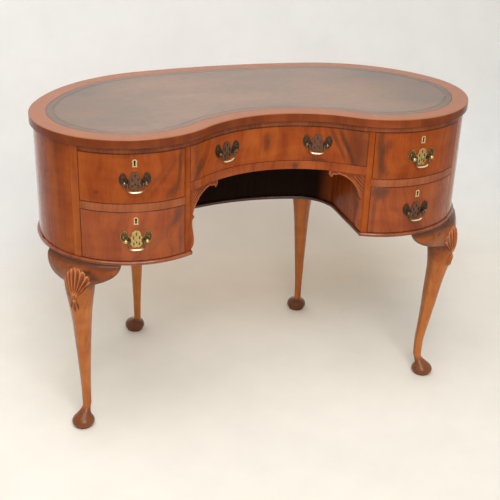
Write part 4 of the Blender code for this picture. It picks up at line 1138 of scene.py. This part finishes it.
# Brackets in the corners of the kneehole
brackets = {
    "width": {"right": 0.0768, "left": 0.0825}, "low": 0.4803, "high": 0.6255, "depth": 0.01,
    "bead": 0.0021, "beadRise": 0.0016, "beadIn": 0.75, "beadEnd": 0.62, "reedRise": 0.0018,
    "taper": (0.25, 0.75, 0.12, 0.8), "flat": (0.35, 0.4), "darker": (0.6, 0.72), "crown": 0.93,
    "tones": {"bead": 0.12, "reed": 0.14, "root": 0.9},
    # edge as shares of the width from the stile and of the height from the foot
    "outline": [(0.935, 1.0), (0.935, 0.965), (0.927, 0.934), (0.905, 0.918), (0.88, 0.926), (0.868, 0.95),
                (0.82, 0.965), (0.7, 0.963), (0.58, 0.946), (0.46, 0.915), (0.35, 0.868), (0.26, 0.805),
                (0.175, 0.728), (0.118, 0.648), (0.088, 0.585), (0.15, 0.548), (0.082, 0.508), (0.082, 0.4),
                (0.11, 0.29), (0.135, 0.17), (0.118, 0.085), (0.06, 0.03), (0.0, 0.0)],
    # reeds that follow the arch: start and end as shares, and half width
    "reeds": [((0.56, 0.975), (0.215, 0.845), 0.0017), ((0.3, 0.87), (0.055, 0.68), 0.002),
              ((0.37, 0.945), (0.045, 0.735), 0.002), ((0.3, 0.965), (0.04, 0.795), 0.0019),
              ((0.22, 0.975), (0.035, 0.853), 0.0017), ((0.13, 0.978), (0.03, 0.91), 0.0014)],
}


def makeBracket(side, sign):
    start = plan["sideInner"] - clear["gap"]
    rise, width = brackets["high"] - brackets["low"], brackets["width"][side]

    def place(across, up):
        return start - width * across, brackets["low"] + rise * up

    edgeLine = [place(*share) for share in smoothThrough(brackets["outline"], 4)]
    mesh = fillShape([[place(0.0, 1.0)] + edgeLine])
    hollow = mesh.verts.layers.float.new("hollow")
    for k in range(1, 32):
        cutAcross(mesh, (start - width * k / 32, 0.0, 0.0), (1.0, 0.0, 0.0), dist=1e-5)
    raiseFaces(mesh, mesh.faces[:], (0.0, brackets["depth"], 0.0))
    # dark polish and painted shade in the field, darker towards the top among the reeds
    for vert in mesh.verts:
        share = easeBetween(*brackets["darker"], (vert.co.z - brackets["low"]) / rise)
        vert[hollow] = brackets["flat"][0] + brackets["flat"][1] * share
    closeOutward(mesh)
    centre = Vector(place(0.0, brackets["crown"]))
    line = []
    for k, point in enumerate(edgeLine[:-1]):
        if k < brackets["beadEnd"] * len(edgeLine):
            before, after, point = Vector(edgeLine[max(0, k - 1)]), Vector(edgeLine[k + 1]), Vector(point)
            along = (after - before).normalized()
            inward = Vector((along.y, -along.x))
            if inward.dot(centre - point) < 0:
                inward = -inward
            line.append((point + inward * brackets["bead"] * brackets["beadIn"], along))
    addRidge(mesh, line, brackets["bead"], brackets["beadRise"], brackets["tones"]["bead"])
    for first, last, half in brackets["reeds"]:
        one, other = Vector(place(*first)), Vector(place(*last))
        line = [(one.lerp(other, k / 8), (other - one).normalized()) for k in range(9)]
        addRidge(mesh, line, half, brackets["reedRise"], brackets["tones"]["reed"], taper=True)
    for vert in mesh.verts:
        vert.co.y += frontY(vert.co.x)
        vert.co.x *= sign
    if sign < 0:
        bmesh.ops.reverse_faces(mesh, faces=mesh.faces)
    finishPiece(mesh, side + "Bracket", "carcass", finishes["bracketWood"], [side + "_bracket"],
                smooth=50.0)


def addRidge(mesh, line, half, rise, tone, taper=False):      # half round ridge along a line on a face
    rings = []
    least, more, start, reach = brackets["taper"]
    for k, (middle, along) in enumerate(line):
        across = Vector((-along.y, along.x))
        size = least + more * sin(pi * (start + reach * k / (len(line) - 1))) if taper else 1.0
        ring = []
        for turn in (2 * pi * i / 8 for i in range(8)):
            off = middle + across * cos(turn) * half * size
            ring.append((off.x, -sin(turn) * rise * size, off.y))
        rings.append(ring)
    ridge = bmesh.new()
    tones = ridge.verts.layers.float.new("hollow")
    bridgeRings(ridge, rings)
    for vert in ridge.verts:
        # the ridge's root is dark: dark polish and painted shade in the crease
        vert[tones] = tone if vert.co.y < 0 else brackets["tones"]["root"]
    closeOutward(ridge)
    holder = toData(ridge, "ridge")
    mesh.from_mesh(holder)
    bpy.data.meshes.remove(holder)


for side, sign in sides:
    makeBracket(side, sign)
print("brackets are carved")

# Handles: pierced plates with knobs, swan neck bails, and key plates
handles = {
    "half": 0.0345, "height": 0.0235, "thickness": 0.0016, "rim": 0.0008, "sunk": 0.0005,
    "spacing": 0.047, "knob": 0.0042, "knobLength": 0.0115, "reach": 0.0085, "drop": 0.0205,
    "rod": 0.0021, "pin": 0.0014, "slice": 0.0015, "knobSeat": 0.0006,
    # how bright the metal is, from wear and painted light: sunken field and rim, each with what its middle adds,
    # knob, its root, and bail
    "fieldWear": (0.26, 0.46), "rimWear": (0.6, 0.12), "middle": (0.34, 0.44), "piercingShade": 1.05,
    "knobWearAndSheen": 0.8, "rootWear": 0.3, "bailWornAndSheen": 0.58, "bailFrom": 0.72,
    # half outline of the plate, as shares, from top middle to bottom middle
    "outline": [(0.0, 1.0), (0.1, 0.98), (0.2, 0.9), (0.275, 0.74), (0.3, 0.52), (0.34, 0.34), (0.41, 0.3),
                (0.49, 0.44), (0.56, 0.7), (0.65, 0.9), (0.77, 0.94), (0.88, 0.84), (0.97, 0.62), (1.0, 0.34),
                (0.97, 0.06), (0.87, -0.22), (0.72, -0.36), (0.56, -0.36), (0.44, -0.34), (0.34, -0.5), (0.25, -0.68),
                (0.12, -0.77), (0.0, -0.7)],
    # piercings: place as shares, and radius across and up
    "piercings": [(0.74, 0.56, 0.0034, 0.0022), (0.8, 0.1, 0.0011, 0.0024), (0.6, 0.14, 0.0011, 0.0022),
                  (0.37, -0.02, 0.0013, 0.0042), (0.0, 0.62, 0.0009, 0.003), (0.19, 0.26, 0.0009, 0.0038),
                  (0.17, -0.36, 0.0009, 0.0026), (0.0, -0.2, 0.0008, 0.0022)],
    # knob from its root: place along its length and radius, as shares
    "knobLine": [(0.0, 1.0), (0.16, 0.98), (0.24, 0.66), (0.46, 0.62), (0.54, 0.95), (0.66, 1.0), (0.82, 0.98),
                 (0.93, 0.72), (1.0, 0.0)],
    # half of the bail from a knob: across and down as shares, and fullness
    "bail": [(1.0, 0.0, 0.0), (0.8, 0.0, 0.0), (0.735, 0.07, 0.8), (0.715, 0.24, 0.7), (0.74, 0.42, 0.6),
             (0.735, 0.58, 0.7), (0.67, 0.75, 0.85), (0.55, 0.88, 1.0), (0.38, 0.965, 1.0), (0.19, 1.0, 1.0)],
}


def ovalLoop(x, z, wide, tall, sides=12):
    return [(x + wide * cos(2 * pi * k / sides), z + tall * sin(2 * pi * k / sides))
            for k in range(sides)]


def bendToFront(mesh, curve):
    for vert in mesh.verts:
        angle, reach = vert.co.x / curve, curve - vert.co.y
        vert.co.x, vert.co.y = reach * sin(angle), curve - reach * cos(angle)


def standOnFront(mesh, x, z, out=0.0):      # moves a piece made at the origin to its place on the front
    spot = Vector((x, frontY(x)))
    if onHollow(x, plan["wall"]):
        outward = (hollowCentre - spot).normalized()
    else:
        outward = (spot - Vector((copysign(endCentre.x, x), endCentre.y))).normalized()
    spot = spot + outward * out
    turn = Matrix.Rotation(atan2(outward.x, -outward.y), 4, "Z")
    bmesh.ops.transform(mesh, matrix=Matrix.Translation((spot.x, spot.y, z)) @ turn, verts=mesh.verts)


def makePlate(name, body, x, z, metal):
    wide, tall = handles["half"], handles["height"]
    right = [(wide * across, tall * up) for across, up in smoothThrough(handles["outline"], 3)]
    loops = [right + [(-across, up) for across, up in right[-2:0:-1]]]
    for across, up, radius, rise in handles["piercings"]:
        for sign in ((1, -1) if across else (1,)):
            loops.append(ovalLoop(sign * wide * across, tall * up, radius, rise))
    mesh = fillShape(loops)
    wearAndShading = mesh.verts.layers.float.new("wearAndShading")
    bmesh.ops.inset_region(mesh, faces=mesh.faces[:], thickness=handles["rim"], use_even_offset=True,
                           use_boundary=True)
    for face in mesh.faces:      # for now, faces inside the rim are told by their material's index
        face.material_index = 0 if any(edge.is_boundary for edge in face.edges) else 1
    for k in range(1, ceil(2 * wide / handles["slice"])):
        cutAcross(mesh, (k * handles["slice"] - wide, 0.0, 0.0), (1.0, 0.0, 0.0), dist=1e-5)
    for vert in mesh.verts:
        middle = 1 - easeBetween(*handles["middle"], abs(vert.co.x) / wide)
        inner = all(face.material_index for face in vert.link_faces)
        least, more = handles["fieldWear" if inner else "rimWear"]
        vert[wearAndShading] = least + more * middle
        for across, up, radius, rise in handles["piercings"]:      # painted shade round the piercings, where the holes read dark
            if hypot((abs(vert.co.x) - across * wide) / radius, (vert.co.z - up * tall) / rise) < handles["piercingShade"]:
                vert[wearAndShading] = 0.0
    front = set(raiseFaces(mesh, mesh.faces[:]))
    for vert in mesh.verts:
        vert.co.y = -clear["gap"]
        if vert in front:
            vert.co.y = -clear["gap"] - handles["thickness"]
            if all(face.material_index for face in vert.link_faces):
                vert.co.y = -clear["gap"] - handles["thickness"] + handles["sunk"]
    for face in mesh.faces:
        face.material_index = 0
    closeOutward(mesh)
    hollow = onHollow(x, plan["wall"])
    bendToFront(mesh, -plan["hollowRadius"] - plan["wall"] if hollow else plan["endRadius"] - plan["wall"])
    for sign in (1, -1):      # both knobs, turned round their own lines
        middle, foot = sign * handles["spacing"] / 2, -handles["knobSeat"]
        line = []
        for along, radius in handles["knobLine"]:
            line.append(mesh.verts.new((middle + handles["knob"] * radius,
                                        foot - (handles["knobLength"] - handles["knobSeat"]) * along, 0.0)))
            # worn brass and painted highlight on the knob's end
            line[-1][wearAndShading] = handles["knobWearAndSheen" if along > 0.4 else "rootWear"]
        chain = line + chainOf(mesh, line, closed=False)
        root = mesh.verts.new((middle, foot, 0.0))
        chain += [root, mesh.edges.new((root, line[0]))]
        bmesh.ops.spin(mesh, geom=chain, cent=(middle, 0.0, 0.0), axis=(0.0, 1.0, 0.0), angle=2 * pi,
                       steps=16, use_merge=True)
    bmesh.ops.remove_doubles(mesh, verts=mesh.verts, dist=1e-6)
    closeOutward(mesh)
    standOnFront(mesh, x, z)
    finishPiece(mesh, name, body, metal, [name], smooth=40.0)


def makeBail(name, x, z):
    span, pin = handles["spacing"] / 2, handles["pin"]
    reach = span - handles["knob"] - clear["gap"]
    half = [(min(reach, across * span), -down * handles["drop"], pin + (handles["rod"] - pin) * full)
            for across, down, full in handles["bail"]]
    path = smoothThrough([(-across, down, radius) for across, down, radius in half] + half[::-1], 3)
    mesh = bmesh.new()
    wearAndShading = mesh.verts.layers.float.new("wearAndShading")
    rings = []
    for k, (across, down, radius) in enumerate(path):
        before, after = path[max(0, k - 1)], path[min(len(path) - 1, k + 1)]
        along = Vector((after[0] - before[0], 0.0, after[1] - before[1])).normalized()
        side = Vector((-along.z, 0.0, along.x))
        rings.append([Vector((across, 0.0, down)) + (side * cos(turn) + Vector((0.0, sin(turn), 0.0)))
                      * radius for turn in (2 * pi * i / 12 for i in range(12))])
    bridgeRings(mesh, rings)
    # the bail is brighter at its foot: wear and painted highlight
    for vert in mesh.verts:
        low, high = -handles["drop"], -handles["bailFrom"] * handles["drop"]
        vert[wearAndShading] = 1.0 - handles["bailWornAndSheen"] * easeBetween(low, high, vert.co.z)
    closeOutward(mesh)
    standOnFront(mesh, x, z, handles["reach"])
    finishPiece(mesh, name, name, finishes["bailBrass"], [name], smooth=60.0)


keyPlate = {"width": 0.0108, "height": 0.018, "thickness": 0.001, "hole": 0.0025, "shadow": (0.0001, 0.00015),
            "tail": [(0.86, 0.6), (1.0, 1.0), (0.0, 1.0)], "holeTail": [(0.6, 2.0), (0.95, 3.8), (0.0, 3.8)]}


def headedLoop(radius, first, last, tail, centre, sides):      # round head over a tail
    loop = [(radius * cos(first + (last - first) * k / sides),
             centre + radius * sin(first + (last - first) * k / sides)) for k in range(sides + 1)]
    return loop + [(-x, z) for x, z in tail] + tail[-2::-1]


def thickened(loops, back, thickness, x, z):      # a thin plate on a front
    mesh = fillShape(loops)
    front = set(raiseFaces(mesh, mesh.faces[:]))
    for vert in mesh.verts:
        vert.co.y = -back - (thickness if vert in front else 0.0)
    closeOutward(mesh)
    standOnFront(mesh, x, z)
    return mesh


def makeKeyPlate(name, body, x, z):
    half, top, hole = keyPlate["width"] / 2, keyPlate["height"] / 2, keyPlate["hole"]
    crown = top - half
    tail = [(half * across, top - keyPlate["height"] * down) for across, down in keyPlate["tail"]]
    holeTail = [(hole * across, crown - hole * down) for across, down in keyPlate["holeTail"]]
    loops = [headedLoop(half, 0.0, pi, tail, crown, 24),
             headedLoop(hole, -pi / 6, pi * 7 / 6, holeTail, crown, 16)]
    mesh = thickened(loops, clear["gap"], keyPlate["thickness"], x, z)
    finishPiece(mesh, name, body, finishes["bone"], [name], smooth=35.0, bevel=0.0002, bevelAngle=50.0)
    mesh = thickened([ovalLoop(0.0, crown - hole, hole * 1.6, hole * 3.4, 20)], *keyPlate["shadow"], x, z)
    finishPiece(mesh, name + "_shadow", body, finishes["darkWood"])


# each handle's body, place, metal and, where there is a lock, the height of its key plate
handleSet = {
    "left_upper": ("left_upper_drawer", -0.33625, 0.66725, "darkBrass", 0.711),
    "left_lower": ("left_lower_drawer", -0.33625, 0.532, "goldBrass", 0.5775),
    "right_upper": ("right_upper_drawer", 0.33625, 0.66725, "goldBrass", 0.711),
    "right_lower": ("right_lower_drawer", 0.33625, 0.532, "darkBrass", 0.5775),
    "centre_left": ("centre_drawer", -0.11, 0.68875, "darkBrass", None),
    "centre_right": ("centre_drawer", 0.11, 0.68875, "darkBrass", None),
}
for name, (body, x, z, metal, keyZ) in handleSet.items():
    makePlate(name + "_handle_plate", body, x, z, finishes[metal])
    makeBail(name + "_bail", x, z)
    if keyZ:
        makeKeyPlate(name + "_key_plate", body, x, keyZ)
print("handles and key plates are made")

# CAD pieces that keep their shape
keptFinishes = {"box": "liningWood", "bottom": "liningWood", "dust_board": "liningWood", "base_board": "liningWood",
                "pedestal_side": "sideVeneer", "lock": "steel"}
for nodeName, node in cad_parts.items():
    for ending, finishName in keptFinishes.items():
        if nodeName.endswith(ending) and not node.hide_render:
            node.data.materials.clear()
            node.data.materials.append(finishes[finishName])
print("kept pieces have their finishes")
